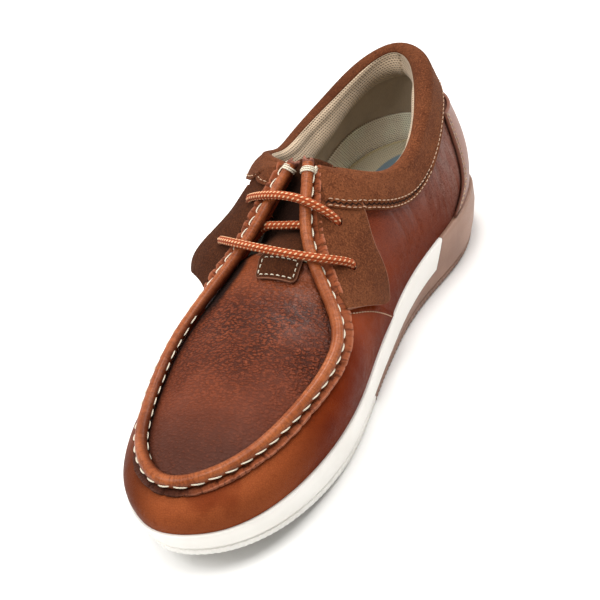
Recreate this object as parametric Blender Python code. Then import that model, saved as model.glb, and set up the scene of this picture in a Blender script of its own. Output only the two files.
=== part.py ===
"""A right lace-up moccasin in tan leather and brown suede, on a two-tone wedge sole, men's EU 42.

The tables are in millimetres and the meshes in metres. X runs from the back of the heel to the toe,
+Y is the inner (medial) side, and Z goes up from the floor. The last is one function, wall(station,
height): a station runs round the shoe with the rows of FEATHER (0 heel, 14.5 toe, 29 heel again),
and a height goes from 0 at the sole to 1 at the upper's top edge. Every overlay is cut from it.
"""

import math
from collections import namedtuple

import bmesh
import bpy
import numpy as np
from mathutils import Vector

MM = 0.001
GAP = 0.3  # between any two pieces
ORIGIN = (147.8, -3.9, 0.0)  # the bottom centre of the whole shoe's box, in the tables' frame

# Upper
LEATHER = 2.0
STATIONS = 29.0  # once round the shoe
TOE = STATIONS / 2

# The line where the sole's top edge meets the upper, from the heel round the inner side and back.
Point = namedtuple("Point", "x y z")
FEATHER = [
    Point(2, 0, 33.6),
    Point(6.5, 16, 33.0),
    Point(20, 29.5, 31.6),
    Point(42, 37.5, 30.0),
    Point(66, 38.5, 28.4),
    Point(92, 35.2, 26.4),
    Point(118, 34.0, 24.2),
    Point(143, 36.2, 22.2),
    Point(168, 39.6, 20.6),
    Point(194, 44.0, 20.0),
    Point(220, 46.2, 20.4),
    Point(246, 44.2, 21.0),
    Point(270, 37.5, 22.0),
    Point(288, 25.0, 23.2),
    Point(296.6, 8.5, 24.6),
    Point(296.2, -7, 24.8),
    Point(288.0, -20.5, 24.2),
    Point(273, -33.5, 22.6),
    Point(250, -43.5, 21.0),
    Point(222, -49.0, 20.4),
    Point(194, -50.5, 20.0),
    Point(166, -48.5, 20.6),
    Point(138, -45.0, 22.2),
    Point(112, -42.0, 24.2),
    Point(86, -39.5, 26.4),
    Point(60, -38.5, 28.6),
    Point(38, -36.0, 30.3),
    Point(18, -28.5, 31.8),
    Point(6, -15.5, 33.0),
]

# The upper's top edge. at is the station it stands over. rise and lean shape the wall as it leaves
# the sole, straight up and outwards, and reach and drop shape it as it comes to the edge from
# outside and below.
Rim = namedtuple("Rim", "at x y z rise lean reach drop")
SEAM = [  # from the inner top of the throat, round the toe, to the outer top
    Rim(6.75, 127.0, 5.0, 97.0, 27, 0.20, 24, 12),
    Rim(7.20, 140.0, 7.5, 87.3, 26, 0.22, 24, 11),
    Rim(7.70, 154.0, 11.5, 77.3, 24, 0.25, 23, 10),
    Rim(8.20, 168.5, 20.5, 67.0, 20, 0.30, 18, 7),
    Rim(8.75, 186.0, 34.5, 56.5, 16, 0.35, 12, 5),
    Rim(9.60, 208.5, 42.5, 49.0, 13, 0.35, 10, 4),
    Rim(10.60, 234.0, 40.0, 45.0, 11, 0.35, 10, 3),
    Rim(11.70, 258.5, 32.0, 42.0, 10, 0.35, 10, 3),
    Rim(13.00, 277.0, 19.0, 40.5, 9, 0.35, 10, 3),
    Rim(14.50, 284.8, 1.0, 40.0, 9, 0.32, 9, 3),
    Rim(16.00, 276.0, -15.5, 41.0, 9, 0.30, 9, 2),
    Rim(17.30, 258.5, -25.5, 43.0, 11, 0.30, 9, 4),
    Rim(18.40, 234.0, -31.5, 46.5, 13, 0.34, 9, 6),
    Rim(19.40, 208.5, -32.8, 52.5, 14, 0.30, 10, 8),
    Rim(20.25, 186.0, -27.5, 60.0, 17, 0.22, 14, 9),
    Rim(20.90, 167.0, -20.5, 68.0, 21, 0.26, 21, 7),
    Rim(21.45, 151.0, -14.5, 76.5, 25, 0.24, 25, 6),
    Rim(21.95, 136.0, -10.0, 85.0, 29, 0.22, 27, 6),
    Rim(22.40, 123.0, -5.5, 93.5, 31, 0.20, 28, 8),
]
COLLAR = [  # from the outer top of the throat, round the heel, to the inner top
    Rim(22.40, 123.0, -5.5, 93.5, 31, 0.20, 28, 8),
    Rim(23.05, 110.0, -26.0, 90.2, 27, 0.18, 16, 16),
    Rim(23.75, 93.7, -30.0, 82.0, 20, 0.18, 6, 18),
    Rim(24.50, 74.0, -31.5, 79.0, 18, 0.16, 3, 16),
    Rim(25.45, 49.5, -29.5, 82.5, 18, 0.18, 3, 18),
    Rim(26.50, 27.0, -23.5, 89.3, 20, 0.25, 5, 22),
    Rim(27.70, 11.5, -13.5, 93.6, 21, 0.30, 5, 25),
    Rim(29.00, 5.0, 0.0, 95.0, 21, 0.32, 5, 26),
    Rim(30.30, 11.0, 14.5, 93.4, 21, 0.30, 5, 25),
    Rim(31.45, 27.5, 24.8, 88.7, 20, 0.26, 5, 22),
    Rim(32.55, 54.0, 32.0, 79.7, 18, 0.18, 4, 18),
    Rim(33.60, 81.3, 33.8, 73.3, 18, 0.16, 4, 16),
    Rim(34.45, 101.6, 29.5, 76.5, 20, 0.18, 9, 16),
    Rim(35.25, 118.5, 18.0, 88.5, 24, 0.20, 18, 15),
    Rim(35.75, 127.0, 5.0, 97.0, 27, 0.20, 24, 12),
]
APRON_FROM = 8.15  # the station where the apron's back edge meets the inner seam
APRON_RISE, APRON_REACH = 15.0, 26.0  # its full height over the seam, and how soon it gets there
APRON_FLAT = 0.3  # how much lower it lies under the throat

# Sole
SPRING_FROM, TOE_SPRING = 206.0, 11.0
# Its side from the floor up: share of the way up, plus so many millimetres, how far it stands
# inside the feather line, and how much further out it swells round the heel. The last rows are the
# lip and the bed that the upper sits on.
Side = namedtuple("Side", "share plus inset swell")
SOLE_SIDE = [
    Side(0.0, 0.0, 9.0, 0.0),
    Side(0.0, 0.0, 4.2, 0.0),
    Side(0.0, 1.0, 3.0, 0.2),
    Side(0.0, 3.4, 2.6, 0.6),
    Side(0.0, 3.8, 3.1, 0.6),
    Side(0.0, 4.4, 3.1, 0.8),
    Side(0.0, 4.8, 2.3, 0.9),
    Side(0.3, 2.0, 1.3, 2.0),
    Side(0.65, 0.0, 0.2, 2.8),
    Side(1.0, -1.6, -1.2, 2.0),
    Side(1.0, -0.6, -1.3, 1.6),
    Side(1.0, -0.1, -0.8, 1.2),
    Side(1.0, -0.1, 3.0, 0.0),
]
SWELL_FROM, SWELL_FULL = 105.0, 40.0  # where along the shoe the swell sets in, and is whole
# The parting face between heel piece and midsole, from above the sole to below it
PARTING = [(72.5, 40.0), (77.5, 28.0), (85.0, 12.5), (110.0, 9.5), (135.0, 7.0), (160.0, 4.0),
           (174.0, 2.6), (175.0, -5.0)]

# Raised seam round the apron
BEAD_R = 2.8
BEAD_LIFT = 0.45  # clear of the apron, which slopes up beside it
FLANGE = 6.2  # from the seam to the flange's raw edge
FLANGE_THICK = 1.4

# Suede overlays lie a little off the leather
SUEDE = 1.5
CLEAR = 0.5
EYELET_R = 2.7

# The padded collar, from its inner front end round the heel: the station of its top and its lower
# edge, and the wall height of that edge.
Edge = namedtuple("Edge", "top_at low_at low_height pad")
COLLAR_EDGE = [
    Edge(6.39, 6.90, 0.885, 0.6),
    Edge(6.25, 6.60, 0.725, 1.6),
    Edge(5.60, 5.80, 0.755, 3.0),
    Edge(4.70, 4.75, 0.755, 4.2),
    Edge(3.60, 3.60, 0.745, 4.6),
    Edge(2.40, 2.40, 0.745, 4.6),
    Edge(1.20, 1.20, 0.760, 4.2),
    Edge(0.00, 0.00, 0.775, 4.0),
    Edge(-1.20, -1.20, 0.760, 4.2),
    Edge(-2.40, -2.40, 0.745, 4.6),
    Edge(-3.60, -3.60, 0.745, 4.6),
    Edge(-4.55, -4.60, 0.755, 4.2),
    Edge(-5.45, -5.65, 0.755, 3.0),
    Edge(-6.10, -6.45, 0.725, 1.6),
    Edge(-6.23, -6.76, 0.885, 0.6),
]
PAD_DEPTH = 11.0  # how far the padding reaches down inside

# The suede facing flaps, from the throat down: stations and wall heights of the front edge beside
# the raised seam, the middle and the loose rear edge, and how far that edge stands off the wall.
Flap = namedtuple("Flap", "front_at front_up mid_at mid_up rear_at rear_up off")
FLAP_IN = [
    Flap(7.12, 0.875, 6.92, 0.790, 6.70, 0.680, 0.3),
    Flap(7.35, 0.880, 7.17, 0.735, 6.96, 0.550, 1.2),
    Flap(7.65, 0.870, 7.38, 0.650, 7.10, 0.415, 2.2),
    Flap(8.00, 0.840, 7.60, 0.560, 7.18, 0.300, 3.2),
    Flap(8.30, 0.795, 7.86, 0.490, 7.38, 0.245, 3.6),
    Flap(8.46, 0.720, 8.05, 0.450, 7.60, 0.265, 3.4),
]
FLAP_OUT = [
    Flap(22.03, 0.875, 22.26, 0.790, 22.50, 0.700, 2.0),
    Flap(21.80, 0.880, 22.02, 0.770, 22.24, 0.620, 4.2),
    Flap(21.50, 0.870, 21.76, 0.740, 22.01, 0.565, 7.0),
    Flap(21.15, 0.840, 21.46, 0.690, 21.76, 0.500, 10.2),
    Flap(20.85, 0.795, 21.19, 0.630, 21.53, 0.440, 12.8),
    Flap(20.69, 0.720, 20.98, 0.570, 21.33, 0.410, 10.5),
]
Eyelet = namedtuple("Eyelet", "at up")
EYELETS = {
    "low_in": Eyelet(7.80, 0.66),
    "top_in": Eyelet(7.26, 0.76),
    "low_out": Eyelet(21.45, 0.70),
    "top_out": Eyelet(21.98, 0.74),
}

# The tongue, from its tab on the apron up to its top edge: place along the shoe, height of the
# ridge, how it sags to the sides (per square millimetre), and its outer and inner edges.
Rib = namedtuple("Rib", "x ridge sag outer inner")
TONGUE = [
    Rib(178.5, 70.0, 0.0125, -5.9, 15.0),
    Rib(172.5, 73.0, 0.0135, -6.1, 15.0),
    Rib(167.2, 75.0, 0.0145, -6.3, 14.8),
    Rib(164.0, 75.3, 0.0200, -6.6, 14.8),
    Rib(161.0, 75.2, 0.036, -15.5, 15.5),
    Rib(157.0, 75.2, 0.037, -18.5, 17.5),
    Rib(150.0, 76.2, 0.036, -22.0, 20.0),
    Rib(141.0, 79.7, 0.034, -23.0, 20.5),
    Rib(132.0, 85.2, 0.034, -21.0, 18.0),
    Rib(124.0, 90.4, 0.037, -17.0, 13.0),
    Rib(117.0, 95.3, 0.040, -12.5, 9.5),
]
TONGUE_RIDGE = 1.5
TONGUE_THICK = 1.6

# Back piece: stations to each side, and its top edge under the collar
COUNTER_AT, COUNTER_TOP, COUNTER_OFF = 2.4, 0.725, 1.9

# Lace
LACE_R = 1.55
LIFT_OUT = 3.0  # the outer flap's stand-off at its lower eyelet


class Curve:
    """A smooth curve through rows of numbers at rising knots, from end to end or round a loop."""

    def __init__(self, knots, rows, period=None):
        self.knots = np.array(knots, float)
        self.rows = np.array(rows, float)
        self.period = period
        if period:
            self.knots = np.append(self.knots, self.knots[0] + period)
            self.rows = np.vstack([self.rows, self.rows[:1]])
        count = len(self.knots)
        step = np.diff(self.knots)
        slope = np.diff(self.rows, axis=0) / step[:, None]
        matrix = np.zeros((count, count))
        right = np.zeros_like(self.rows)
        for i in range(1, count - 1):
            matrix[i, i - 1 : i + 2] = step[i], 2 * (step[i - 1] + step[i]), step[i - 1]
            right[i] = 3 * (step[i] * slope[i - 1] + step[i - 1] * slope[i])
        if period:
            matrix[0, [0, 1, -2]] = 2 * (step[-1] + step[0]), step[-1], step[0]
            right[0] = 3 * (step[0] * slope[-1] + step[-1] * slope[0])
            matrix[-1, [0, -1]] = 1, -1
        else:
            matrix[0, :2] = 2, 1
            matrix[-1, -2:] = 1, 2
            right[0], right[-1] = 3 * slope[0], 3 * slope[-1]
        self.slopes = np.linalg.solve(matrix, right)

    def __call__(self, at):
        if self.period:
            at = self.knots[0] + (at - self.knots[0]) % self.period
        i = int(np.clip(np.searchsorted(self.knots, at) - 1, 0, len(self.knots) - 2))
        step = self.knots[i + 1] - self.knots[i]
        t = (at - self.knots[i]) / step
        return (
            (1 + 2 * t) * (1 - t) ** 2 * self.rows[i]
            + t * (1 - t) ** 2 * step * self.slopes[i]
            + t * t * (3 - 2 * t) * self.rows[i + 1]
            + t * t * (t - 1) * step * self.slopes[i + 1]
        )


feather = Curve(range(len(FEATHER)), FEATHER, STATIONS)
seam = Curve([row.at for row in SEAM], [row[1:] for row in SEAM])
collar = Curve([row.at for row in COLLAR], [row[1:] for row in COLLAR])
UP = np.array([0.0, 0.0, 1.0])
THROAT_IN, THROAT_OUT = SEAM[0].at, SEAM[-1].at


collar_edge = Curve(range(len(COLLAR_EDGE)), COLLAR_EDGE)
COLLAR_STEPS = np.linspace(0, len(COLLAR_EDGE) - 1, 35)


def opposite(at_in):
    """The outer seam station across the apron from an inner one."""
    return THROAT_OUT + (TOE - THROAT_OUT) * (at_in - THROAT_IN) / (TOE - THROAT_IN)


# Stations of the throat and of the apron's seam, in pairs across the shoe
INNER = list(np.linspace(THROAT_IN, APRON_FROM, 5)) + list(np.linspace(APRON_FROM, TOE, 21))[1:]
FRONT = INNER + [opposite(at) for at in reversed(INNER[:-1])]


def unit(v):
    return v / np.linalg.norm(v)


def outward(at):
    """Level, square to the feather line, away from the foot."""
    ahead = feather(at + 0.05) - feather(at - 0.05)
    return unit(np.array([ahead[1], -ahead[0], 0.0])) * -1.0


def rim(at):
    """The row of the top edge over a station."""
    at = at % STATIONS
    if THROAT_IN <= at <= THROAT_OUT:
        return seam(at)
    return collar(at if at > THROAT_OUT else at + STATIONS)


def wall(at, height):
    """A point of the upper's outer face."""
    x, y, z, rise, lean, reach, drop = rim(at)
    out = outward(at)
    foot = feather(at) + UP * GAP
    top = np.array([x, y, z])
    a = foot + rise * (UP + lean * out)
    b = top + reach * out - drop * UP
    t = height
    return (1 - t) ** 3 * foot + 3 * t * (1 - t) ** 2 * a + 3 * t * t * (1 - t) * b + t**3 * top


def wall_normal(at, height):
    """Out of the upper's outer face."""
    low, high = (height - 0.02, height) if height > 0.5 else (height, height + 0.02)
    side = 0.03
    before, after = at - side, at + side
    for edge in (THROAT_IN, THROAT_OUT):  # no step across the throat's corner
        if before < edge <= at:
            before = edge
        elif at < edge < after:
            after = edge
    along = wall(after, height) - wall(before, height)
    return unit(np.cross(wall(at, high) - wall(at, low), along))


def apron(at_in, across):
    """A point of the apron: at_in is its inner seam station, across goes from 0 there to 1."""
    inner, outer = seam(at_in)[:3], seam(opposite(at_in))[:3]
    point = inner + (outer - inner) * across
    width = np.linalg.norm(outer - inner)
    away = np.array([across * width, (1 - across) * width, seam(TOE)[0] - point[0]])
    deep = (1 / np.maximum(away, 1e-6) ** 2).sum() ** -0.5
    full = APRON_RISE * (1 - APRON_FLAT * max(0.0, 1 - (at_in - APRON_FROM) / 2))
    return point + UP * full * (1 - math.exp(-deep / APRON_REACH))


def material(name, colour, roughness, metallic=0.0):
    made = bpy.data.materials.new(name)
    made.use_nodes = True
    shader = made.node_tree.nodes["Principled BSDF"]
    shader.inputs["Base Color"].default_value = (*colour, 1)
    shader.inputs["Roughness"].default_value = roughness
    shader.inputs["Metallic"].default_value = metallic
    return made


def node(name, points, faces, finish):
    """A mesh object from points in millimetres."""
    mesh = bpy.data.meshes.new(name)
    mesh.from_pydata([tuple(np.asarray(p) * MM) for p in points], [], faces)
    shape = bmesh.new()
    shape.from_mesh(mesh)
    if not any(edge.is_boundary for edge in shape.edges):
        bmesh.ops.recalc_face_normals(shape, faces=shape.faces)
    shape.to_mesh(mesh)
    shape.free()
    mesh.materials.append(finish)
    mesh.shade_smooth()
    mesh.set_sharp_from_angle(angle=math.radians(40))
    made = bpy.data.objects.new(name, mesh)
    bpy.context.scene.collection.objects.link(made)
    return made


def loft(name, rings, finish):
    """A solid through closed rings of equal count, its two ends capped."""
    count = len(rings[0])
    points = [p for ring in rings for p in ring]
    faces = []
    for r in range(len(rings) - 1):
        for i in range(count):
            j = (i + 1) % count
            faces.append((r * count + i, r * count + j, (r + 1) * count + j, (r + 1) * count + i))
    faces.append(tuple(reversed(range(count))))
    faces.append(tuple((len(rings) - 1) * count + i for i in range(count)))
    return node(name, points, faces, finish)


def outline(inset, lift, swell=0.0, count=56):
    """A loop round the shoe beside the feather line: inset towards the foot, lifted off the floor."""
    loop = []
    for i in range(count):
        at = i * STATIONS / count
        heel = np.clip((SWELL_FROM - feather(at)[0]) / (SWELL_FROM - SWELL_FULL), 0, 1)
        p = feather(at) + (swell * heel * heel * (3 - 2 * heel) - inset) * outward(at)
        loop.append(np.array([p[0], p[1], lift(p)]))
    return loop


def strip_cap(start, count, flip):
    """Faces that close a loop with strips across the shoe, from heel to toe."""
    half = count // 2
    faces = []
    for i in range(half):
        j, k, other = i + 1, (count - i - 1) % count, (count - i) % count
        face = [start + i, start + j, start + k, start + other]
        face = list(dict.fromkeys(face))
        faces.append(tuple(reversed(face)) if flip else tuple(face))
    return faces


def stack(name, loops, finish):
    """A solid from loops round the shoe, the lowest first."""
    count = len(loops[0])
    points = [p for loop in loops for p in loop]
    faces = strip_cap(0, count, True)
    for r in range(len(loops) - 1):
        for i in range(count):
            j = (i + 1) % count
            faces.append((r * count + i, r * count + j, (r + 1) * count + j, (r + 1) * count + i))
    faces += strip_cap((len(loops) - 1) * count, count, False)
    return node(name, points, faces, finish)


def floor_line(x):
    """The sole's underside: flat, and sprung up at the toe."""
    past = max(0.0, x - SPRING_FROM) / (300.0 - SPRING_FROM)
    return TOE_SPRING * past**1.7


def parting_tool(name, shift):
    """A cutter that holds all behind and below the parting face, moved forward and up by shift."""
    front = [(x + shift, z + shift) for x, z in PARTING]
    side = [(-20.0, 60.0), (front[0][0] - 4.5, 60.0)] + front + [(-20.0, -5.0)]
    rings = [[np.array([x, y, z]) for x, z in side] for y in (-80.0, 80.0)]
    tool = loft(name, rings, suede)
    tool.hide_render = True
    tool.display_type = "WIRE"
    return tool


def cut(target, tool, operation="DIFFERENCE"):
    step = target.modifiers.new("cut with " + tool.name, "BOOLEAN")
    step.operation = operation
    step.object = tool
    step.solver = "EXACT"


def build_sole():
    def level(side):
        return lambda p: floor_line(p[0]) + side.share * (p[2] - floor_line(p[0])) + side.plus

    loops = [outline(side.inset, level(side), side.swell) for side in SOLE_SIDE]
    heel_piece = stack("outsole", loops, taupe)
    cut(heel_piece, parting_tool("behind_parting", 0.0), "INTERSECT")
    midsole = stack("midsole", loops, off_white)
    cut(midsole, parting_tool("ahead_of_parting", GAP))


def build_insole():
    rise = 4.0
    loops = [
        outline(LEATHER + 2.2, lambda p: p[2] + 0.6),
        outline(LEATHER + 2.0, lambda p: p[2] + rise - 0.8),
        outline(LEATHER + 3.0, lambda p: p[2] + rise),
    ]
    stack("insole", loops, linen)


def build_upper():
    """The wall all round, with the apron sewn into its front, as one leather shell."""
    rows = [0, 0.12, 0.24, 0.36, 0.48, 0.6, 0.71, 0.82, 0.91, 1]
    back = [collar_edge(step)[0] % STATIONS for step in reversed(COLLAR_STEPS)]
    stations = FRONT + [back[0] - 0.15] + back + [back[-1] + 0.15]
    count = len(stations)
    points = [wall(at, t) for at in stations for t in rows]
    faces = []
    for c in range(count):
        d = (c + 1) % count
        for r in range(len(rows) - 1):
            a, b = c * len(rows) + r, d * len(rows) + r
            faces.append((a, a + 1, b + 1, b))
    top = len(rows) - 1
    half = len(FRONT) // 2
    first = FRONT.index(APRON_FROM)
    across = 8
    lines = []
    for i in range(first, half):
        line = [i * len(rows) + top]
        for k in range(1, across):
            line.append(len(points))
            points.append(apron(FRONT[i], k / across))
        line.append((len(FRONT) - 1 - i) * len(rows) + top)
        lines.append(line)
    for near, far in zip(lines, lines[1:]):
        for k in range(across):
            faces.append((near[k], near[k + 1], far[k + 1], far[k]))
    tip = half * len(rows) + top
    for k in range(across):
        faces.append((lines[-1][k], lines[-1][k + 1], tip))
    upper = node("upper", points, faces, leather)
    shell = upper.modifiers.new("leather", "SOLIDIFY")
    shell.thickness = LEATHER * MM
    shell.offset = -1
    shell.use_even_offset = True
    return upper


def seam_frame(at):
    """The raised seam's foot, its way outwards along the wall, and its way up."""
    foot = wall(at, 1.0)
    up = wall_normal(at, 1.0)
    ahead = unit(seam(min(at + 0.05, THROAT_OUT))[:3] - seam(max(at - 0.05, THROAT_IN))[:3])
    out = unit(np.cross(up, ahead))
    if out @ outward(at) < 0:
        out = -out
    return foot, out, up


def build_moc_seam():
    """The rolled bead over the seam, with the puckered raw edge of the wall as a flange outside it."""
    rings = []
    for at in FRONT:
        foot, out, up = seam_frame(at)
        centre = foot + up * (BEAD_R + BEAD_LIFT)
        ring = [foot + out * FLANGE + up * GAP, foot + out * FLANGE + up * (GAP + FLANGE_THICK)]
        for step in range(8):
            angle = math.radians(-20 + step * 37)
            ring.append(centre + BEAD_R * (math.cos(angle) * out + math.sin(angle) * up))
        rings.append(ring)
    loft("moc_seam", rings, tan)


def build_collar():
    """Suede over foam: down the wall's outside, rolled over its top edge and padded inside."""
    outside, inside = CLEAR + SUEDE, -(LEATHER + CLEAR)
    rings = []
    for step in COLLAR_STEPS:
        top_at, low_at, low_height, pad = collar_edge(step)

        def face(share, off):
            at = low_at + (top_at - low_at) * share
            height = low_height + (1 - low_height) * share
            return wall(at, height) + off * wall_normal(at, height)

        top, out = wall(top_at, 1.0), wall_normal(top_at, 1.0)
        rise = unit(top - wall(top_at, 0.96))
        length = np.linalg.norm(top - wall(top_at, 0.8)) / 0.2

        def lining(depth, off):
            height = 1 - depth / length
            return wall(top_at, height) + off * wall_normal(top_at, height)

        middle, half = (outside + inside - pad) / 2, (outside - inside + pad) / 2
        ring = [face(share, outside) for share in (0, 0.33, 0.66)]
        for angle in (0, 45, 90, 135, 180):
            cos, sin = math.cos(math.radians(angle)), math.sin(math.radians(angle))
            ring.append(top + out * (middle + half * cos) + rise * (CLEAR + 0.9 * half * sin))
        ring += [lining(PAD_DEPTH / 2, inside - pad), lining(PAD_DEPTH, inside - pad / 3)]
        ring += [lining(PAD_DEPTH, inside), lining(PAD_DEPTH / 2, inside)]
        ring += [top + out * inside + rise * CLEAR, top + out * CLEAR + rise * CLEAR]
        ring += [face(share, CLEAR) for share in (0.66, 0.33, 0)]
        rings.append(ring)
    loft("collar", rings, suede)


def panel(name, rows, finish):
    """A sheet from rows of pairs of points, its lower and its upper face."""
    rings = [[low for low, _ in row] + [high for _, high in reversed(row)] for row in rows]
    return loft(name, rings, finish)


def flap_point(flap, across, off=0.0):
    """A point on a facing flap: across goes from its front edge, 0, to its loose edge, 1."""
    front, mid, rear = (1 - across) ** 2, 2 * across * (1 - across), across**2
    at = front * flap[0] + mid * flap[2] + rear * flap[4]
    height = front * flap[1] + mid * flap[3] + rear * flap[5]
    return wall(at, height) + wall_normal(at, height) * (CLEAR + flap[6] * across**1.5 + off)


def build_flap(name, table):
    edge = Curve(range(len(table)), table)
    rows = []
    for step in np.linspace(0, len(table) - 1, 13):
        flap = edge(step)
        shares = np.linspace(0, 1, 8)
        rows.append([(flap_point(flap, a), flap_point(flap, a, SUEDE)) for a in shares])
    return panel(name, rows, suede)


def build_counter():
    """The leather piece that wraps the back seam, from the sole to the collar."""
    rows = []
    for at in np.linspace(-COUNTER_AT, COUNTER_AT, 13):
        row = []
        for height in np.linspace(0.05, COUNTER_TOP, 7):
            normal = wall_normal(at, height)
            row.append((wall(at, height) + CLEAR * normal, wall(at, height) + COUNTER_OFF * normal))
        rows.append(row)
    panel("heel_counter", rows, leather)


def build_tongue():
    rib = Curve([-row.x for row in TONGUE], [row[1:] for row in TONGUE])
    rows = []
    ends = [row.x for row in TONGUE]
    halfway = [(a + b) / 2 for a, b in zip(ends, ends[1:])]
    for x in sorted(ends + halfway, reverse=True):
        ridge, sag, outer, inner = rib(-x)
        row = []
        for y in np.linspace(outer, inner, 9):
            z = ridge - sag * (y - TONGUE_RIDGE) ** 2
            row.append((np.array([x, y, z - TONGUE_THICK]), np.array([x, y, z])))
        rows.append(row)
    panel("tongue", rows, suede)


def eyelet(name, off):
    """A point on an eyelet's axis, off the upper's outer face."""
    at, up = EYELETS[name]
    return wall(at, up) + off * wall_normal(at, up)


def build_eyelets(pieces):
    """Punches each lace hole through the upper and the flap over it."""
    for name in EYELETS:
        inside, outside = eyelet(name, -8.0), eyelet(name, 16.0)
        bpy.ops.mesh.primitive_cylinder_add(vertices=14, radius=EYELET_R * MM, depth=24 * MM)
        punch = bpy.context.object
        punch.name = "punch_" + name
        punch.location = (inside + outside) / 2 * MM
        punch.rotation_euler = Vector(outside - inside).to_track_quat("Z", "Y").to_euler()
        punch.hide_render = True
        punch.display_type = "WIRE"
        for piece in pieces:
            cut(piece, punch)


def over_bead(at, lift=0.0):
    foot, _, up = seam_frame(at)
    return foot + up * (2 * BEAD_R + BEAD_LIFT + GAP + LACE_R + lift)


def lace_route():
    """The lace from its end behind the lower inner eyelet to its end behind the upper outer one."""
    return [
        eyelet("low_in", -7.5) + np.array([-6.0, 0.0, 3.0]),
        eyelet("low_in", -4.5),
        eyelet("low_in", 0.8),
        eyelet("low_in", 4.7) + np.array([-0.5, -1.5, 0.0]),
        over_bead(8.03),
        over_bead(21.22),
        eyelet("low_out", LIFT_OUT + 5.0) + np.array([0.5, 2.0, 0.0]),
        eyelet("low_out", LIFT_OUT + 1.5),
        eyelet("low_out", -4.2),
        np.array([149.0, -14.5, 70.6]),
        np.array([148.3, -8.0, 75.8]),
        np.array([147.5, 1.5, 79.2]),
        np.array([146.0, 9.5, 77.2]),
        np.array([144.5, 15.0, 73.9]),
        eyelet("top_in", -4.2),
        eyelet("top_in", 0.8),
        eyelet("top_in", 4.2) + np.array([-0.5, -1.5, 0.0]),
        over_bead(7.22),
        over_bead(21.98),
        eyelet("top_out", 6.5) + np.array([0.5, 2.0, 0.0]),
        eyelet("top_out", 2.5),
        eyelet("top_out", -4.0),
        eyelet("top_out", -6.5) + np.array([3.0, 2.0, -3.0]),
    ]


def build_lace():
    points = lace_route()
    knots = np.cumsum([0] + [math.sqrt(np.linalg.norm(b - a)) for a, b in zip(points, points[1:])])
    route = Curve(knots, points)
    places = [route(t) for t in np.linspace(0, knots[-1], 84)]
    side = UP
    rings = []
    for i, place in enumerate(places):
        ahead = unit(places[min(i + 1, len(places) - 1)] - places[max(i - 1, 0)])
        side = unit(side - (side @ ahead) * ahead)
        other = np.cross(ahead, side)
        ring = []
        for angle in np.linspace(0, 2 * math.pi, 7)[:-1]:
            ring.append(place + LACE_R * (math.cos(angle) * side + math.sin(angle) * other))
        rings.append(ring)
    loft("lace", rings, cord)


leather = material("cognac leather", (0.30, 0.085, 0.03), 0.42)
tan = material("tan piping", (0.36, 0.12, 0.045), 0.4)
suede = material("brown suede", (0.115, 0.045, 0.024), 0.95)
taupe = material("taupe rubber", (0.30, 0.17, 0.12), 0.7)
off_white = material("off-white rubber", (0.80, 0.76, 0.70), 0.6)
linen = material("woven lining", (0.36, 0.30, 0.22), 0.95)
cord = material("braided lace", (0.40, 0.10, 0.03), 0.8)


def main():
    for old in list(bpy.data.objects):
        bpy.data.objects.remove(old)
    shoe = bpy.data.objects.new("shoe", None)
    shoe.location = -MM * Vector(ORIGIN)
    build_sole()
    build_insole()
    upper = build_upper()
    build_moc_seam()
    build_collar()
    flaps = [build_flap("wing_medial", FLAP_IN), build_flap("wing_lateral", FLAP_OUT)]
    build_eyelets([upper] + flaps)
    build_counter()
    build_tongue()
    build_lace()
    for piece in bpy.data.objects:
        if piece != shoe:
            piece.parent = shoe
    bpy.context.scene.collection.objects.link(shoe)


main()
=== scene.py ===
"""A right lace-up moccasin in tan leather and brown suede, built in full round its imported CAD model.

Tables of the last are in millimetres, in the maker's own frame: X from the back of the heel to the
toe, +Y to the inner side, Z up from the floor. placed() turns them into the scene's metres.
"""

import math
from collections import namedtuple

import bmesh
import bpy
import numpy as np
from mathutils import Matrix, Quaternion, Vector


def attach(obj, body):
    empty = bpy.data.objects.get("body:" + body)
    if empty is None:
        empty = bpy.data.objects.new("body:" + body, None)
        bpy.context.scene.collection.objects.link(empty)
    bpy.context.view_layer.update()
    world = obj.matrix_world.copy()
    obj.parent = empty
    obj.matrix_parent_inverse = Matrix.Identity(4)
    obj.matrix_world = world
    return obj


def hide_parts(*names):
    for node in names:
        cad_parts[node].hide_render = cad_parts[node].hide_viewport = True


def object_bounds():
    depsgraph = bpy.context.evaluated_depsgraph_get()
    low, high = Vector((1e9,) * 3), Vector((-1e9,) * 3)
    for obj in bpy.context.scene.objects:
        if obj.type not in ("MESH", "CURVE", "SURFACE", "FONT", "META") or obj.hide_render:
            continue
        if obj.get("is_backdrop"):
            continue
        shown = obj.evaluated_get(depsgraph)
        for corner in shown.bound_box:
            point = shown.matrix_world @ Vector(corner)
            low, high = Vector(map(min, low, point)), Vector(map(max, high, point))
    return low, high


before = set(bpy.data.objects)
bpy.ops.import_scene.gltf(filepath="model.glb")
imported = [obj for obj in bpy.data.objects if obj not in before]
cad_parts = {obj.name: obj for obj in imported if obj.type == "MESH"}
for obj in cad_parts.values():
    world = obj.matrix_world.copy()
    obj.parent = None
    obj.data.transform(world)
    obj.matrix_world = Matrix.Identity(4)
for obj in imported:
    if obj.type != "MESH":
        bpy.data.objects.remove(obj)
cad_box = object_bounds()

# ---------------------------------------------------------------------------------------------
# Studio. A pale floor of matt board, with no backdrop of its own: the world lights it evenly. Soft
# boxes over the toe, the opening, the heel and the outer side draw the leather's gloss. The camera
# stands before the inner side of the toe, looks down at the shoe and is rolled a little.
# ---------------------------------------------------------------------------------------------
MM = 0.001
EYE = Vector((0.5137, 0.3498, 0.4244))
LOOK_AT = Vector((0.019, 0.011, 0.050))
ROLL = math.radians(-16.2)
LENS, SENSOR = 92.6, 36.0
FLOOR = 4.0  # half its side, in metres


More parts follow.
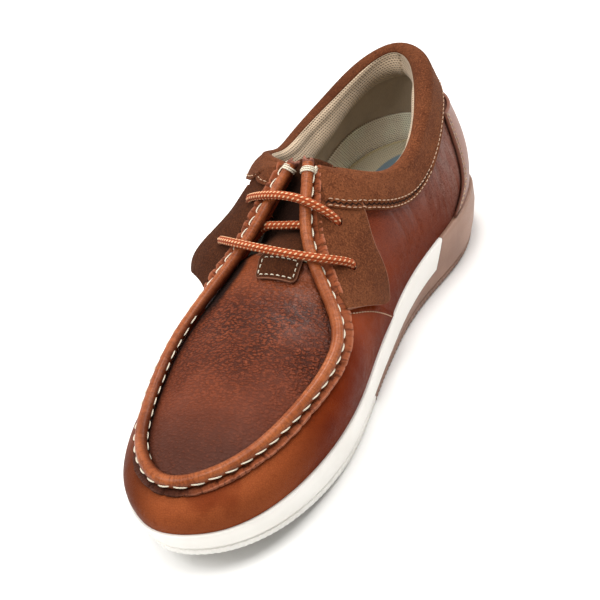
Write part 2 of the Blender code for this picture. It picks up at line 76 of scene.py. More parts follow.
class Term:
    """A shader socket that can be reckoned with: each operator adds one Math node."""

    def __init__(self, finish, socket):
        self.finish, self.socket = finish, socket

    def to(self, operation, other=None):
        """The result of a named operation of the Math node on this value."""
        inputs = {"Value": self}
        if other is not None:
            inputs["Value_001"] = other
        return self.finish.node("Math", {"operation": operation}, inputs)

    def turned(self, operation, other):
        """The same with this value as the second one."""
        return self.finish.node("Math", {"operation": operation}, {"Value": other, "Value_001": self})

    def __add__(self, other):
        return self.to("ADD", other)

    def __radd__(self, other):
        return self.turned("ADD", other)

    def __sub__(self, other):
        return self.to("SUBTRACT", other)

    def __rsub__(self, other):
        return self.turned("SUBTRACT", other)

    def __mul__(self, other):
        return self.to("MULTIPLY", other)

    def __rmul__(self, other):
        return self.turned("MULTIPLY", other)

    def __truediv__(self, other):
        return self.to("DIVIDE", other)

    def __pow__(self, other):
        return self.to("POWER", other)


class Finish:
    """A material on one Principled shader, with a method that adds any other node to it."""

    def __init__(self, name, **constants):
        self.material = bpy.data.materials.new(name)
        self.material.use_nodes = True
        self.tree = self.material.node_tree
        self.shader = self.tree.nodes["Principled BSDF"]
        for socket, value in constants.items():
            self.shader.inputs[socket.replace("_", " ")].default_value = value

    def node(self, kind, settings=(), inputs=(), out=None):
        made = self.tree.nodes.new("ShaderNode" + kind)
        for key, value in dict(settings).items():
            setattr(made, key, value)
        for key, value in dict(inputs).items():
            socket = next(s for s in made.inputs if key in (s.identifier, s.name))
            if isinstance(value, Term):
                self.tree.links.new(value.socket, socket)
            else:
                socket.default_value = value
        shown = [s for s in made.outputs if s.enabled]
        return Term(self, next(s for s in shown if out in (None, s.identifier, s.name)))

    def feed(self, socket, term):
        self.tree.links.new(term.socket, self.shader.inputs[socket])

    def place(self):
        """Where a spot lies, in millimetres."""
        spot = self.node("TexCoord", out="Object")
        return self.node("VectorMath", {"operation": "SCALE"}, {"Vector": spot, "Scale": 1 / MM})

    def axes(self, vector, names):
        """The named parts of a vector, such as "XY"."""
        return [self.node("SeparateXYZ", {}, {"Vector": vector}, name) for name in names]

    def stretched(self, place, scale):
        return self.node("VectorMath", {"operation": "MULTIPLY"}, {"Vector": place, "Vector_001": scale})

    def noise(self, place, per_mm, detail=2.0, rough=0.5, distortion=0.0):
        inputs = {"Vector": place, "Scale": per_mm, "Detail": detail, "Roughness": rough,
                  "Distortion": distortion}
        return self.node("TexNoise", {}, inputs, "Fac")

    def cells(self, place, per_mm, feature="F1"):
        inputs = {"Vector": place, "Scale": per_mm}
        return self.node("TexVoronoi", {"feature": feature}, inputs, "Distance")

    def span(self, value, low, high, start=0.0, end=1.0, smooth=True):
        """value from low to high, mapped to start to end and held there."""
        kind = "SMOOTHSTEP" if smooth else "LINEAR"
        inputs = {"Value": value, "From Min": low, "From Max": high, "To Min": start, "To Max": end}
        return self.node("MapRange", {"interpolation_type": kind}, inputs)

    def mix(self, share, a, b):
        """Colour a turned into colour b by share."""
        ends = [(*c, 1.0) if isinstance(c, tuple) else c for c in (a, b)]
        inputs = {"Factor_Float": share, "A_Color": ends[0], "B_Color": ends[1]}
        return self.node("Mix", {"data_type": "RGBA"}, inputs, "Result_Color")

    def run(self):
        """The two coordinates that a piece's maker gave it: along it in centimetres, and across it in
        centimetres or as a share of the way round."""
        uv = self.node("UVMap", {"uv_map": "run"}, out="UV")
        return self.axes(uv, "XY")

    def bump(self, height, depth_mm):
        """Lets height, from 0 to 1, stand out of the surface by so many millimetres."""
        self.feed("Normal", self.node("Bump", {}, {"Height": height, "Distance": depth_mm * MM}))


def floor_board():
    board = Finish("matt_board", Roughness=0.75)
    mottle = board.noise(board.place(), 0.02, 3.0)
    board.feed("Base Color", board.mix(mottle, (0.90, 0.90, 0.895), (0.93, 0.93, 0.93)))
    return board.material


mesh = bpy.data.meshes.new("floor")
corners = [(x * FLOOR, y * FLOOR, 0) for x, y in ((-1, -1), (1, -1), (1, 1), (-1, 1))]
mesh.from_pydata(corners, [], [(0, 1, 2, 3)])
mesh.materials.append(floor_board())
floor = bpy.data.objects.new("floor", mesh)
bpy.context.scene.collection.objects.link(floor)
floor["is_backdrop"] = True

world = bpy.data.worlds.new("studio")
world.use_nodes = True
sky = world.node_tree.nodes["Background"]
sky.inputs["Color"].default_value = (1.0, 0.995, 0.985, 1)
sky.inputs["Strength"].default_value = 0.27
bpy.context.scene.world = world

Box = namedtuple("Box", "name place aim width height watts")
SOFT_BOXES = [
    Box("over_toe", (0.60, -0.50, 1.05), (0.03, 0, 0.05), 0.9, 0.7, 10.0),
    Box("over_opening", (0.22, 0.22, 1.30), (-0.06, 0, 0.05), 0.7, 0.5, 9.0),
    Box("behind_heel", (-0.75, 0.45, 0.85), (-0.05, 0, 0.05), 0.8, 0.6, 7.0),
    Box("over_heel", (-0.42, -0.10, 1.15), (0.04, 0, 0.06), 0.34, 0.22, 5.0),
    Box("outer_side", (-0.42, -1.00, 0.68), (0.04, 0, 0.05), 0.7, 0.4, 3.0),
]
for box in SOFT_BOXES:
    lamp = bpy.data.lights.new(box.name, "AREA")
    lamp.shape = "RECTANGLE"
    lamp.size, lamp.size_y = box.width, box.height
    lamp.energy = box.watts
    lamp.color = (1.0, 0.985, 0.96)
    light = bpy.data.objects.new(box.name, lamp)
    light.location = box.place
    light.rotation_euler = (Vector(box.aim) - Vector(box.place)).to_track_quat("-Z", "Y").to_euler()
    bpy.context.scene.collection.objects.link(light)

lens = bpy.data.cameras.new("camera")
lens.lens, lens.sensor_width = LENS, SENSOR
lens.clip_start, lens.clip_end = 0.01, 20
camera = bpy.data.objects.new("camera", lens)
camera.location = EYE
camera.rotation_mode = "QUATERNION"
camera.rotation_quaternion = (LOOK_AT - EYE).to_track_quat("-Z", "Y") @ Quaternion((0, 0, 1), ROLL)
bpy.context.scene.collection.objects.link(camera)
bpy.context.scene.camera = camera
bpy.context.scene.view_settings.view_transform = "Standard"

# ---------------------------------------------------------------------------------------------
# Upper. Tan pull-up leather: a wall that runs all round the foot, and an apron sewn into it over
# the toes. The wall is lasted under and cemented to the sole. Its front, the vamp, overlaps the
# quarters in a sewn step on each side. Flexing has left soft creases over the toes and the quarters.
# ---------------------------------------------------------------------------------------------
ORIGIN = np.array((147.8, -3.9, 0.0))  # the bottom centre of the shoe's box, in the tables' frame
GAP = 0.3  # between the wall and the sole's bed
STATIONS = 29.0  # once round the shoe
TOE = STATIONS / 2
LEATHER = 1.7  # its thickness

# The line where the sole's top edge meets the upper, from the heel round the inner side and back.
Point = namedtuple("Point", "x y z")
FEATHER = [
    Point(2, 0, 33.6),
    Point(6.5, 16, 33.0),
    Point(20, 29.5, 31.6),
    Point(42, 37.5, 30.0),
    Point(66, 38.5, 28.4),
    Point(92, 35.2, 26.4),
    Point(118, 34.0, 24.2),
    Point(143, 36.2, 22.2),
    Point(168, 39.6, 20.6),
    Point(194, 44.0, 20.0),
    Point(220, 46.2, 20.4),
    Point(246, 44.2, 21.0),
    Point(270, 37.5, 22.0),
    Point(288, 25.0, 23.2),
    Point(296.6, 8.5, 24.6),
    Point(296.2, -7, 24.8),
    Point(288.0, -20.5, 24.2),
    Point(273, -33.5, 22.6),
    Point(250, -43.5, 21.0),
    Point(222, -49.0, 20.4),
    Point(194, -50.5, 20.0),
    Point(166, -48.5, 20.6),
    Point(138, -45.0, 22.2),
    Point(112, -42.0, 24.2),
    Point(86, -39.5, 26.4),
    Point(60, -38.5, 28.6),
    Point(38, -36.0, 30.3),
    Point(18, -28.5, 31.8),
    Point(6, -15.5, 33.0),
]

# The upper's top edge. at is the station it stands over. rise and lean shape the wall as it leaves
# the sole, straight up and outwards, and reach and drop shape it as it comes to the edge from
# outside and below.
Rim = namedtuple("Rim", "at x y z rise lean reach drop")
SEAM = [  # from the inner top of the throat, round the toe, to the outer top
    Rim(6.75, 127.0, 5.0, 97.0, 27, 0.20, 24, 12),
    Rim(7.20, 140.0, 7.5, 87.3, 26, 0.22, 24, 11),
    Rim(7.70, 154.0, 11.5, 77.3, 24, 0.25, 23, 10),
    Rim(8.20, 168.5, 20.5, 67.0, 20, 0.30, 18, 7),
    Rim(8.75, 186.0, 34.5, 56.5, 16, 0.35, 12, 5),
    Rim(9.60, 208.5, 42.5, 49.0, 13, 0.35, 10, 4),
    Rim(10.60, 234.0, 40.0, 45.0, 11, 0.35, 10, 3),
    Rim(11.70, 258.5, 32.0, 42.0, 10, 0.35, 10, 3),
    Rim(13.00, 277.0, 19.0, 40.5, 9, 0.35, 10, 3),
    Rim(14.50, 284.8, 1.0, 40.0, 9, 0.32, 9, 3),
    Rim(16.00, 276.0, -15.5, 41.0, 9, 0.30, 9, 2),
    Rim(17.30, 258.5, -25.5, 43.0, 11, 0.30, 9, 4),
    Rim(18.40, 234.0, -31.5, 46.5, 13, 0.34, 9, 6),
    Rim(19.40, 208.5, -32.8, 52.5, 14, 0.30, 10, 8),
    Rim(20.25, 186.0, -27.5, 60.0, 17, 0.22, 14, 9),
    Rim(20.90, 167.0, -20.5, 68.0, 21, 0.26, 21, 7),
    Rim(21.45, 151.0, -14.5, 76.5, 25, 0.24, 25, 6),
    Rim(21.95, 136.0, -10.0, 85.0, 29, 0.22, 27, 6),
    Rim(22.40, 123.0, -5.5, 93.5, 31, 0.20, 28, 8),
]
COLLAR = [  # from the outer top of the throat, round the heel, to the inner top
    Rim(22.40, 123.0, -5.5, 93.5, 31, 0.20, 28, 8),
    Rim(23.05, 110.0, -26.0, 90.2, 27, 0.18, 16, 16),
    Rim(23.75, 93.7, -30.0, 82.0, 20, 0.18, 6, 18),
    Rim(24.50, 74.0, -31.5, 79.0, 18, 0.16, 3, 16),
    Rim(25.45, 49.5, -29.5, 82.5, 18, 0.18, 3, 18),
    Rim(26.50, 27.0, -23.5, 89.3, 20, 0.25, 5, 22),
    Rim(27.70, 11.5, -13.5, 93.6, 21, 0.30, 5, 25),
    Rim(29.00, 5.0, 0.0, 95.0, 21, 0.32, 5, 26),
    Rim(30.30, 11.0, 14.5, 93.4, 21, 0.30, 5, 25),
    Rim(31.45, 27.5, 24.8, 88.7, 20, 0.26, 5, 22),
    Rim(32.55, 54.0, 32.0, 79.7, 18, 0.18, 4, 18),
    Rim(33.60, 81.3, 33.8, 73.3, 18, 0.16, 4, 16),
    Rim(34.45, 101.6, 29.5, 76.5, 20, 0.18, 9, 16),
    Rim(35.25, 118.5, 18.0, 88.5, 24, 0.20, 18, 15),
    Rim(35.75, 127.0, 5.0, 97.0, 27, 0.20, 24, 12),
]
APRON_FROM = 8.15  # the station where the apron's back edge meets the inner seam
APRON_RISE, APRON_REACH = 15.0, 26.0  # its full height over the seam, and how soon it gets there
APRON_FLAT = 0.3  # how much lower it lies under the throat


class Curve:
    """A smooth curve through rows of numbers at rising knots, from end to end or round a loop."""

    def __init__(self, knots, rows, period=None):
        self.knots = np.array(knots, float)
        self.rows = np.array(rows, float)
        self.period = period
        if period:
            self.knots = np.append(self.knots, self.knots[0] + period)
            self.rows = np.vstack([self.rows, self.rows[:1]])
        count = len(self.knots)
        step = np.diff(self.knots)
        slope = np.diff(self.rows, axis=0) / step[:, None]
        matrix = np.zeros((count, count))
        right = np.zeros_like(self.rows)
        for i in range(1, count - 1):
            matrix[i, i - 1 : i + 2] = step[i], 2 * (step[i - 1] + step[i]), step[i - 1]
            right[i] = 3 * (step[i] * slope[i - 1] + step[i - 1] * slope[i])
        if period:
            matrix[0, [0, 1, -2]] = 2 * (step[-1] + step[0]), step[-1], step[0]
            right[0] = 3 * (step[0] * slope[-1] + step[-1] * slope[0])
            matrix[-1, [0, -1]] = 1, -1
        else:
            matrix[0, :2] = 2, 1
            matrix[-1, -2:] = 1, 2
            right[0], right[-1] = 3 * slope[0], 3 * slope[-1]
        self.slopes = np.linalg.solve(matrix, right)

    def __call__(self, at):
        """The row at one place, or the rows at many."""
        at = np.asarray(at, float)
        if self.period:
            at = self.knots[0] + (at - self.knots[0]) % self.period
        i = np.clip(np.searchsorted(self.knots, at) - 1, 0, len(self.knots) - 2)
        step = (self.knots[i + 1] - self.knots[i])[..., None]
        t = (at - self.knots[i])[..., None] / step
        return (
            (1 + 2 * t) * (1 - t) ** 2 * self.rows[i]
            + t * (1 - t) ** 2 * step * self.slopes[i]
            + t * t * (3 - 2 * t) * self.rows[i + 1]
            + t * t * (t - 1) * step * self.slopes[i + 1]
        )


feather = Curve(range(len(FEATHER)), FEATHER, STATIONS)
seam = Curve([row.at for row in SEAM], [row[1:] for row in SEAM])
collar = Curve([row.at for row in COLLAR], [row[1:] for row in COLLAR])
UP = np.array([0.0, 0.0, 1.0])
THROAT_IN, THROAT_OUT = SEAM[0].at, SEAM[-1].at


def unit(v):
    return v / np.linalg.norm(v, axis=-1, keepdims=True)


def opposite(at_in):
    """The outer seam station across the apron from an inner one."""
    return THROAT_OUT + (TOE - THROAT_OUT) * (at_in - THROAT_IN) / (TOE - THROAT_IN)


def outward(at):
    """Level, square to the feather line, away from the foot."""
    ahead = feather(at + 0.05) - feather(at - 0.05)
    level = np.stack([-ahead[..., 1], ahead[..., 0], np.zeros_like(ahead[..., 0])], -1)
    return unit(level)


def rim(at):
    """The row of the top edge over a station."""
    at = at % STATIONS
    front = (at >= THROAT_IN) & (at <= THROAT_OUT)
    behind = np.where(at > THROAT_OUT, at, at + STATIONS)
    ahead = seam(np.clip(at, THROAT_IN, THROAT_OUT))
    return np.where(front[..., None], ahead, collar(np.maximum(behind, THROAT_OUT)))


def wall(at, height):
    """Points of the upper's outer face: height is 0 at the sole and 1 at the top edge."""
    at, height = np.broadcast_arrays(np.asarray(at, float), np.asarray(height, float))
    row = rim(at)
    rise, lean, reach, drop = (row[..., k, None] for k in (3, 4, 5, 6))
    out = outward(at)
    foot = feather(at) + UP * GAP
    top = row[..., :3]
    a = foot + rise * (UP + lean * out)
    b = top + reach * out - drop * UP
    t = height[..., None]
    return (1 - t) ** 3 * foot + 3 * t * (1 - t) ** 2 * a + 3 * t * t * (1 - t) * b + t**3 * top


def wall_normal(at, height):
    """Out of the upper's outer face."""
    at, height = np.broadcast_arrays(np.asarray(at, float), np.asarray(height, float))
    high = np.where(height > 0.5, height, height + 0.02)
    before, after = at - 0.03, at + 0.03
    for edge in (THROAT_IN, THROAT_OUT):  # no step across the throat's corner
        before = np.where((before < edge) & (edge <= at), edge, before)
        after = np.where((after > edge) & (edge > at), edge, after)
    along = wall(after, height) - wall(before, height)
    return unit(np.cross(wall(at, high) - wall(at, high - 0.02), along))


def apron(at_in, across):
    """Points of the apron: at_in is the inner seam station, across goes from 0 there to 1."""
    at_in, across = np.broadcast_arrays(np.asarray(at_in, float), np.asarray(across, float))
    inner, outer = seam(at_in)[..., :3], seam(opposite(at_in))[..., :3]
    point = inner + (outer - inner) * across[..., None]
    width = np.linalg.norm(outer - inner, axis=-1)
    away = np.stack([across * width, (1 - across) * width, seam(TOE)[0] - point[..., 0]])
    deep = (1 / np.maximum(away, 1e-6) ** 2).sum(0) ** -0.5
    full = APRON_RISE * (1 - APRON_FLAT * np.maximum(0.0, 1 - (at_in - APRON_FROM) / 2))
    return point + UP * (full * (1 - np.exp(-deep / APRON_REACH)))[..., None]


def placed(points):
    """From the tables' millimetres to the scene's metres."""
    return (np.asarray(points, float) - ORIGIN) * MM


def piece(name, points, faces, finish, run=None, sharp=50):
    """An object from points in the tables' millimetres, with its faces turned outwards. run gives
    each corner of each face its place along and across, for the material."""
    mesh = bpy.data.meshes.new(name)
    mesh.from_pydata(placed(points).tolist(), [], faces)
    if run is not None:
        mesh.uv_layers.new(name="run").uv.foreach_set("vector", np.asarray(run, np.float32).ravel())
    mesh.materials.append(finish)
    mesh.shade_smooth()
    mesh.set_sharp_from_angle(angle=math.radians(sharp))
    made = bpy.data.objects.new(name, mesh)
    bpy.context.scene.collection.objects.link(made)
    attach(made, "root")
    return made


def grid(name, points, finish, run=None, closed=False, flip=False, caps=False):
    """A sheet through rows of points, open or closed round from each row's end to its start, and
    then with or without caps on its two ends. run holds a pair of numbers for each point, with one
    more column where the sheet is closed."""
    rows, columns = points.shape[:2]
    span = columns if closed else columns - 1
    r, c = np.meshgrid(np.arange(rows - 1), np.arange(span), indexing="ij")
    corners = [(r, c), (r, c + 1), (r + 1, c + 1), (r + 1, c)]
    if flip:
        corners.reverse()
    faces = np.stack([i * columns + j % columns for i, j in corners], -1).reshape(-1, 4).tolist()
    if run is not None:
        ends = np.vstack([run[0, :columns], run[-1, :columns]]) if caps else np.zeros((0, 2))
        run = np.vstack([np.stack([run[i, j] for i, j in corners], -2).reshape(-1, 2), ends])
    if caps:
        last = (rows - 1) * columns
        first_cap, last_cap = list(range(columns)), list(range(last, last + columns))
        (last_cap if flip else first_cap).reverse()
        faces += [first_cap, last_cap]
    return piece(name, points.reshape(-1, 3), faces, finish, run)


def thicken(made, thick):
    """Gives a sheet its thickness, on the side away from its face."""
    made.modifiers.new("thickness", "SOLIDIFY").thickness = thick * MM
    return made


def together(*values):
    """Arrays of one shape, or that spread to one shape, as the numbers of each point."""
    return np.stack(np.broadcast_arrays(*values), -1)


def length_along(points, axis=0):
    """How far along its row each point is."""
    first = np.take(points, [0], axis)
    return np.cumsum(np.linalg.norm(np.diff(points, axis=axis, prepend=first), axis=-1), axis=axis)


def between(spots, knots, rows):
    """The rows of numbers at places between knots, in straight steps."""
    return np.stack([np.interp(spots, knots, column) for column in rows.T], -1)


def trough(spots, start, end, width, metric=(1.0, 1.0)):
    """How deep each spot, a pair of numbers, lies in a soft crease from start to end: 0 to 1."""
    metric = np.array(metric)
    a, b = np.array(start) * metric, np.array(end) * metric
    p = spots * metric
    along = np.clip(((p - a) @ (b - a)) / ((b - a) @ (b - a)), 0, 1)
    off = np.linalg.norm(p - a - along[..., None] * (b - a), axis=-1)
    taper = np.sin(np.pi * np.clip(0.12 + 0.76 * along, 0, 1)) ** 0.7
    return taper * np.exp(-((off / width) ** 2))


# Creases in the wall: station and height of both ends, width in millimetres, depth (a ridge is
# negative). The quarters crease upright below the ankle, the vamp where it meets the apron.
Crease = namedtuple("Crease", "start end width depth")
WALL_CREASES = [
    Crease((5.95, 0.70), (5.55, 0.30), 1.6, 0.55),
    Crease((5.62, 0.74), (5.30, 0.38), 1.8, -0.40),
    Crease((5.30, 0.72), (5.05, 0.28), 1.5, 0.60),
    Crease((4.92, 0.70), (4.80, 0.34), 2.0, -0.35),
    Crease((4.62, 0.72), (4.62, 0.22), 1.5, 0.50),
    Crease((4.28, 0.70), (4.40, 0.40), 2.2, -0.30),
    Crease((3.92, 0.72), (4.12, 0.26), 1.6, 0.45),
    Crease((3.40, 0.68), (3.55, 0.36), 2.0, 0.30),
    Crease((-3.50, 0.70), (-3.70, 0.30), 1.7, 0.45),
    Crease((-4.10, 0.72), (-4.20, 0.36), 2.0, -0.35),
    Crease((-4.70, 0.72), (-4.75, 0.26), 1.5, 0.55),
    Crease((-5.30, 0.72), (-5.20, 0.34), 1.9, 0.45),
    Crease((-5.75, 0.70), (-5.55, 0.30), 2.0, -0.35),
    Crease((9.40, 0.78), (9.20, 0.35), 3.0, 0.50),
    Crease((10.2, 0.70), (10.0, 0.30), 3.5, 0.35),
    Crease((19.0, 0.78), (19.3, 0.35), 3.2, 0.55),
    Crease((18.2, 0.72), (18.5, 0.30), 3.5, 0.35),
    Crease((20.1, 0.70), (20.3, 0.30), 3.0, 0.40),
]
VAMP_FROM, BACK_FROM = 8, 20  # stations where the vamp's creases start, and the outer quarter does
STEP, STEP_FADE = 0.7, 16  # how far the vamp stands over the quarter, and fades out ahead of its edge
# The vamp's edge on each side: station by wall height, from the sole up to the raised seam.
VAMP_EDGE_IN = Curve([0.0, 0.21, 0.45, 0.73, 1.0], [[6.76], [7.46], [8.06], [8.46], [8.60]])
VAMP_EDGE_OUT = Curve([0.0, 0.19, 0.43, 0.71, 1.0], [[22.1], [21.5], [20.9], [20.45], [20.1]])
SPOT = (24.0, 62.0)  # millimetres along the wall to a station, and up it to its whole height
HEEL_DIP = 5.5
DIP_HALF, DIP_FADE = 2.95, 1.4  # stations from the back seam to the dip's end, and its slope's width


def heel_dip(at):
    """How far the sole's top and the leather that meets it come down round the back of the heel."""
    turned = np.abs((np.asarray(at, float) + TOE) % STATIONS - TOE)
    share = np.clip((DIP_HALF - turned) / DIP_FADE, 0, 1)
    return HEEL_DIP * share * share * (3 - 2 * share)


def wall_relief(at, height):
    """How far the wall's face stands off its smooth form, in millimetres."""
    off = np.zeros(np.broadcast(at, height).shape)
    spots = together(at, height)
    # For the quarters' creases, the outer side's stations count back from 0 at the back seam.
    turned = np.where(spots[..., :1] > BACK_FROM, spots - (STATIONS, 0), spots)
    for crease in WALL_CREASES:
        near = spots if crease.start[0] > VAMP_FROM else turned
        off -= crease.depth * trough(near, crease.start, crease.end, crease.width, SPOT)
    inner, outer = VAMP_EDGE_IN(height)[..., 0], VAMP_EDGE_OUT(height)[..., 0]
    ahead = np.minimum(at - inner, outer - at) * SPOT[0]
    fade = 1 - np.clip(ahead / STEP_FADE, 0, 1)
    off += STEP * fade * np.clip(ahead / 0.5 + 0.5, 0, 1)
    return off


at = np.linspace(0, STATIONS, 640, endpoint=False)[None, :]
low = -0.03 - heel_dip(at) / SPOT[1]
height = low + (1 - low) * np.linspace(0, 1, 68)[:, None]
points = wall(at, height) + wall_relief(at, height)[..., None] * wall_normal(at, height)


def grain(hide, spot, size):
    """Pebbled skin: low rounds with fine valleys between them, and finer pores on top."""
    bent = hide.node("VectorMath", {"operation": "ADD"}, {
        "Vector": spot,
        "Vector_001": hide.node("TexNoise", {}, {"Vector": spot, "Scale": 0.5, "Detail": 1.0}, "Color"),
    })
    rounds = hide.span(hide.cells(bent, 1 / size, "DISTANCE_TO_EDGE"), 0.0, 0.22)
    return rounds * 0.7 + hide.noise(spot, 2.2 / size, 3.0, 0.6) * 0.3


def wall_leather():
    """Smooth side of the hide: orange tan at the toe, darker at its outer corner, with painted shade in
    dark red at the foot of the wall, a greyer tone on the quarters that is partly painted sheen, and a
    painted grey-mauve sheen in upright streaks towards the heel, with fine upright flex lines."""
    hide = Finish("tan_wall_leather", Coat_Roughness=0.34, Specular_IOR_Level=0.015)
    spot = hide.place()
    x, y, z = hide.axes(spot, "XYZ")
    cloud = hide.noise(spot, 0.028, 3.0, 0.55)
    mottle = hide.noise(spot, 0.22, 4.0, 0.6)
    colour = hide.mix(hide.span(cloud, 0.36, 0.64), (0.170, 0.022, 0.004), (0.255, 0.040, 0.007))
    toe = hide.span(x, 70.0, 128.0)
    colour = hide.mix(toe * 0.75, colour, (0.375, 0.104, 0.035))
    burnt = hide.span(hide.noise(spot, 0.038, 2.0, 0.5), 0.50, 0.66)
    colour = hide.mix(burnt * (0.45 + 0.15 * toe), colour, (0.120, 0.013, 0.003))
    colour = hide.mix(toe * hide.span(y, 6.0, -16.0) * 0.80, colour, (0.080, 0.018, 0.006))
    back = hide.span(x, 15.0, -50.0)
    # The quarters' greyer tone: partly their own colour, partly painted sheen.
    colour = hide.mix(back * 0.75, colour, (0.215, 0.050, 0.024))
    # Painted sheen: a grey-mauve reflection in upright streaks, growing towards the heel.
    heel = hide.span(x, -45.0, -105.0)
    sheen_streaks = hide.noise(hide.stretched(spot, (1.0, 1.0, 0.07)), 0.30, 3.0, 0.6)
    colour = hide.mix(heel * hide.span(sheen_streaks, 0.38, 0.60, 0.45, 1.0), colour, (0.270, 0.148, 0.120))
    # Painted shade: darker red down towards the sole, less so at the toe.
    low = hide.span(z, 52.0, 22.0)
    colour = hide.mix(low * (1 - toe * 0.55) * 0.62, colour, (0.085, 0.009, 0.002))
    colour = hide.mix(hide.span(mottle, 0.52, 0.80) * 0.30, colour, (0.09, 0.014, 0.004))
    streaks = hide.noise(hide.stretched(spot, (1.0, 1.0, 0.10)), 0.62, 4.0, 0.62, 0.4)
    lines = 1 - hide.span((streaks - 0.5).to("ABSOLUTE"), 0.0, 0.05)
    worn = back * hide.span(hide.noise(spot, 0.045, 1.0), 0.38, 0.60) * hide.span(z, 32.0, 44.0)
    colour = hide.mix(lines * worn * 0.48, colour, (0.075, 0.014, 0.006))
    skin = grain(hide, spot, 0.9)
    pores = hide.span(skin, 0.55, 0.25) * (0.25 + 0.5 * back)
    hide.feed("Base Color", hide.mix(pores, colour, (0.08, 0.012, 0.004)))
    hide.feed("Roughness", hide.span(mottle, 0.3, 0.7, 0.34, 0.46) + lines * worn * 0.12)
    waxed = hide.span(z, 42.0, 60.0)
    hide.feed("Coat Weight", waxed * (hide.span(cloud, 0.3, 0.7, 0.10, 0.22) + back * 0.10))
    hide.bump(skin * 0.45 + (1 - lines * worn) * 0.35 + mottle * 0.35, 0.30)
    return hide.material


def apron_leather():
    """The same hide, milled: small rounded pebbles, deepest across the bend of the toes, with painted
    shade in their valleys and painted highlights on their tops; smoother and more orange beside the
    tongue, dark at the toe, and with painted shadow along the beads and under the outer one."""
    hide = Finish("tan_apron_leather", Coat_Roughness=0.32, Specular_IOR_Level=0.17)
    spot = hide.place()
    x, y = hide.axes(spot, "XY")
    from_bead = hide.run()[1] * 10
    cloud = hide.noise(spot, 0.035, 3.0, 0.55)
    mottle = hide.noise(spot, 0.25, 4.0, 0.6)
    colour = hide.mix(hide.span(cloud, 0.36, 0.64), (0.124, 0.023, 0.006), (0.168, 0.033, 0.009))
    colour = hide.mix(hide.span(x, 84.0, 126.0) * 0.85, colour, (0.050, 0.011, 0.004))
    colour = hide.mix(hide.span(x, 44.0, 24.0) * 0.80, colour, (0.240, 0.056, 0.016))
    patches = hide.span(hide.noise(spot, 0.05, 2.0), 0.34, 0.66, 0.55, 1.0)
    flexed = hide.span(x, 112.0, 52.0) * hide.span(x, 20.0, 44.0) * patches
    sway = hide.node("TexNoise", {}, {"Vector": spot, "Scale": 0.18, "Detail": 2.0}, "Color")
    swayed = hide.node("VectorMath", {"operation": "MULTIPLY_ADD"}, {
        "Vector": sway, "Vector_001": (2.4, 2.4, 2.4), "Vector_002": spot})
    folds = hide.cells(hide.stretched(swayed, (1.0, 0.56, 0.8)), 0.86)
    fine = hide.cells(hide.stretched(swayed, (1.0, 0.75, 0.9)), 1.45)
    round_folds = 1 - hide.span(folds, 0.15, 0.75)
    round_fine = 1 - hide.span(fine, 0.15, 0.70)
    pebbles = round_folds * 0.65 + round_fine * 0.35
    shade = hide.span(pebbles, 0.55, 0.12) * (0.18 + 0.77 * flexed)
    colour = hide.mix(hide.span(mottle, 0.50, 0.78) * 0.25, colour, (0.09, 0.018, 0.006))
    # Painted highlights on the pebbles' tops, strongest where the leather is flexed.
    pebble_highlight = hide.span(pebbles, 0.62, 0.90) * (0.10 + 0.42 * flexed)
    colour = hide.mix(pebble_highlight, colour, (0.36, 0.090, 0.036))
    colour = hide.mix(shade.to("MINIMUM", 0.92), colour, (0.030, 0.006, 0.002))
    # Painted shadow along the beads: a dark band, and a near-black line at their foot.
    colour = hide.mix(hide.span(from_bead, 6.5, 1.5) * 0.80, colour, (0.035, 0.007, 0.002))
    colour = hide.mix(hide.span(from_bead, 3.0, 1.0) * 0.85, colour, (0.008, 0.002, 0.001))
    # Painted shadow, near black, in the recess under the outer bead by the throat.
    under = hide.span(x, 62.0, 34.0) * hide.span(y, -8.0, -14.0) * hide.span(from_bead, 8.5, 4.5)
    hide.feed("Base Color", hide.mix(under * 0.95, colour, (0.006, 0.002, 0.001)))
    gloss = hide.span(x, 16.0, 30.0) * hide.span(x, 66.0, 44.0) * hide.span(y, -6.0, 12.0)
    hide.feed("Roughness", hide.span(mottle, 0.3, 0.7, 0.56, 0.64) + shade * 0.1 - gloss * 0.30)
    hide.feed("Coat Weight", hide.span(cloud, 0.3, 0.7, 0.0, 0.05) + gloss * 0.12)
    hide.bump(pebbles * (0.30 + 0.70 * flexed) + mottle * 0.2, 1.0)
    return hide.material


upper_wall = thicken(grid("upper_wall", points, wall_leather(), closed=True, flip=True), LEATHER)

# Creases in the apron: both ends by place along and across the shoe, in millimetres.
APRON_CREASES = [
    Crease((190, -22), (186, 14), 2.2, 0.45),
    Crease((196, -26), (193, 2), 1.7, 0.35),
    Crease((193, 8), (198, 32), 1.9, 0.45),
    Crease((203, -18), (200, 16), 2.0, 0.40),
    Crease((208, -28), (206, -4), 1.8, 0.30),
    Crease((206, 12), (212, 36), 2.2, 0.40),
    Crease((216, -24), (213, 6), 2.4, 0.28),
    Crease((219, 10), (224, 34), 2.4, 0.28),
    Crease((183, -10), (180, 20), 1.8, 0.30),
    Crease((188, 20), (192, 34), 1.5, 0.35),
    Crease((230, -14), (228, 12), 3.2, 0.22),
]
tight = 1 - (1 - np.linspace(0, 1, 130)) ** 1.25
at_in = (APRON_FROM + (TOE - 0.02 - APRON_FROM) * tight)[:, None]
across = np.linspace(0, 1, 110)[None, :]
points = apron(at_in, across)
past = 0.8 + 2.1 * across[..., None] ** 2
# Its back edge is turned down under the tongue.
hem = [points[:1] - past * (step, 0, 0.15 * step + 0.05 * step * step) for step in (4.0, 3.0, 2.0, 1.0)]
points = np.concatenate([*hem, points])
half = points.shape[1] // 2
edges = (points[:, :1], points[:, -1:], points[-1:, half : half + 1])
to_bead = np.min([np.linalg.norm(points - edge, axis=-1) for edge in edges], axis=0)
run = together(points[..., 0] / 10, to_bead / 10)
for crease in APRON_CREASES:
    dip = crease.depth * trough(points[..., :2], crease.start, crease.end, crease.width)
    points = points - dip[..., None] * UP
apron_plug = thicken(grid("apron", points, apron_leather(), run), LEATHER)
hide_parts("upper")

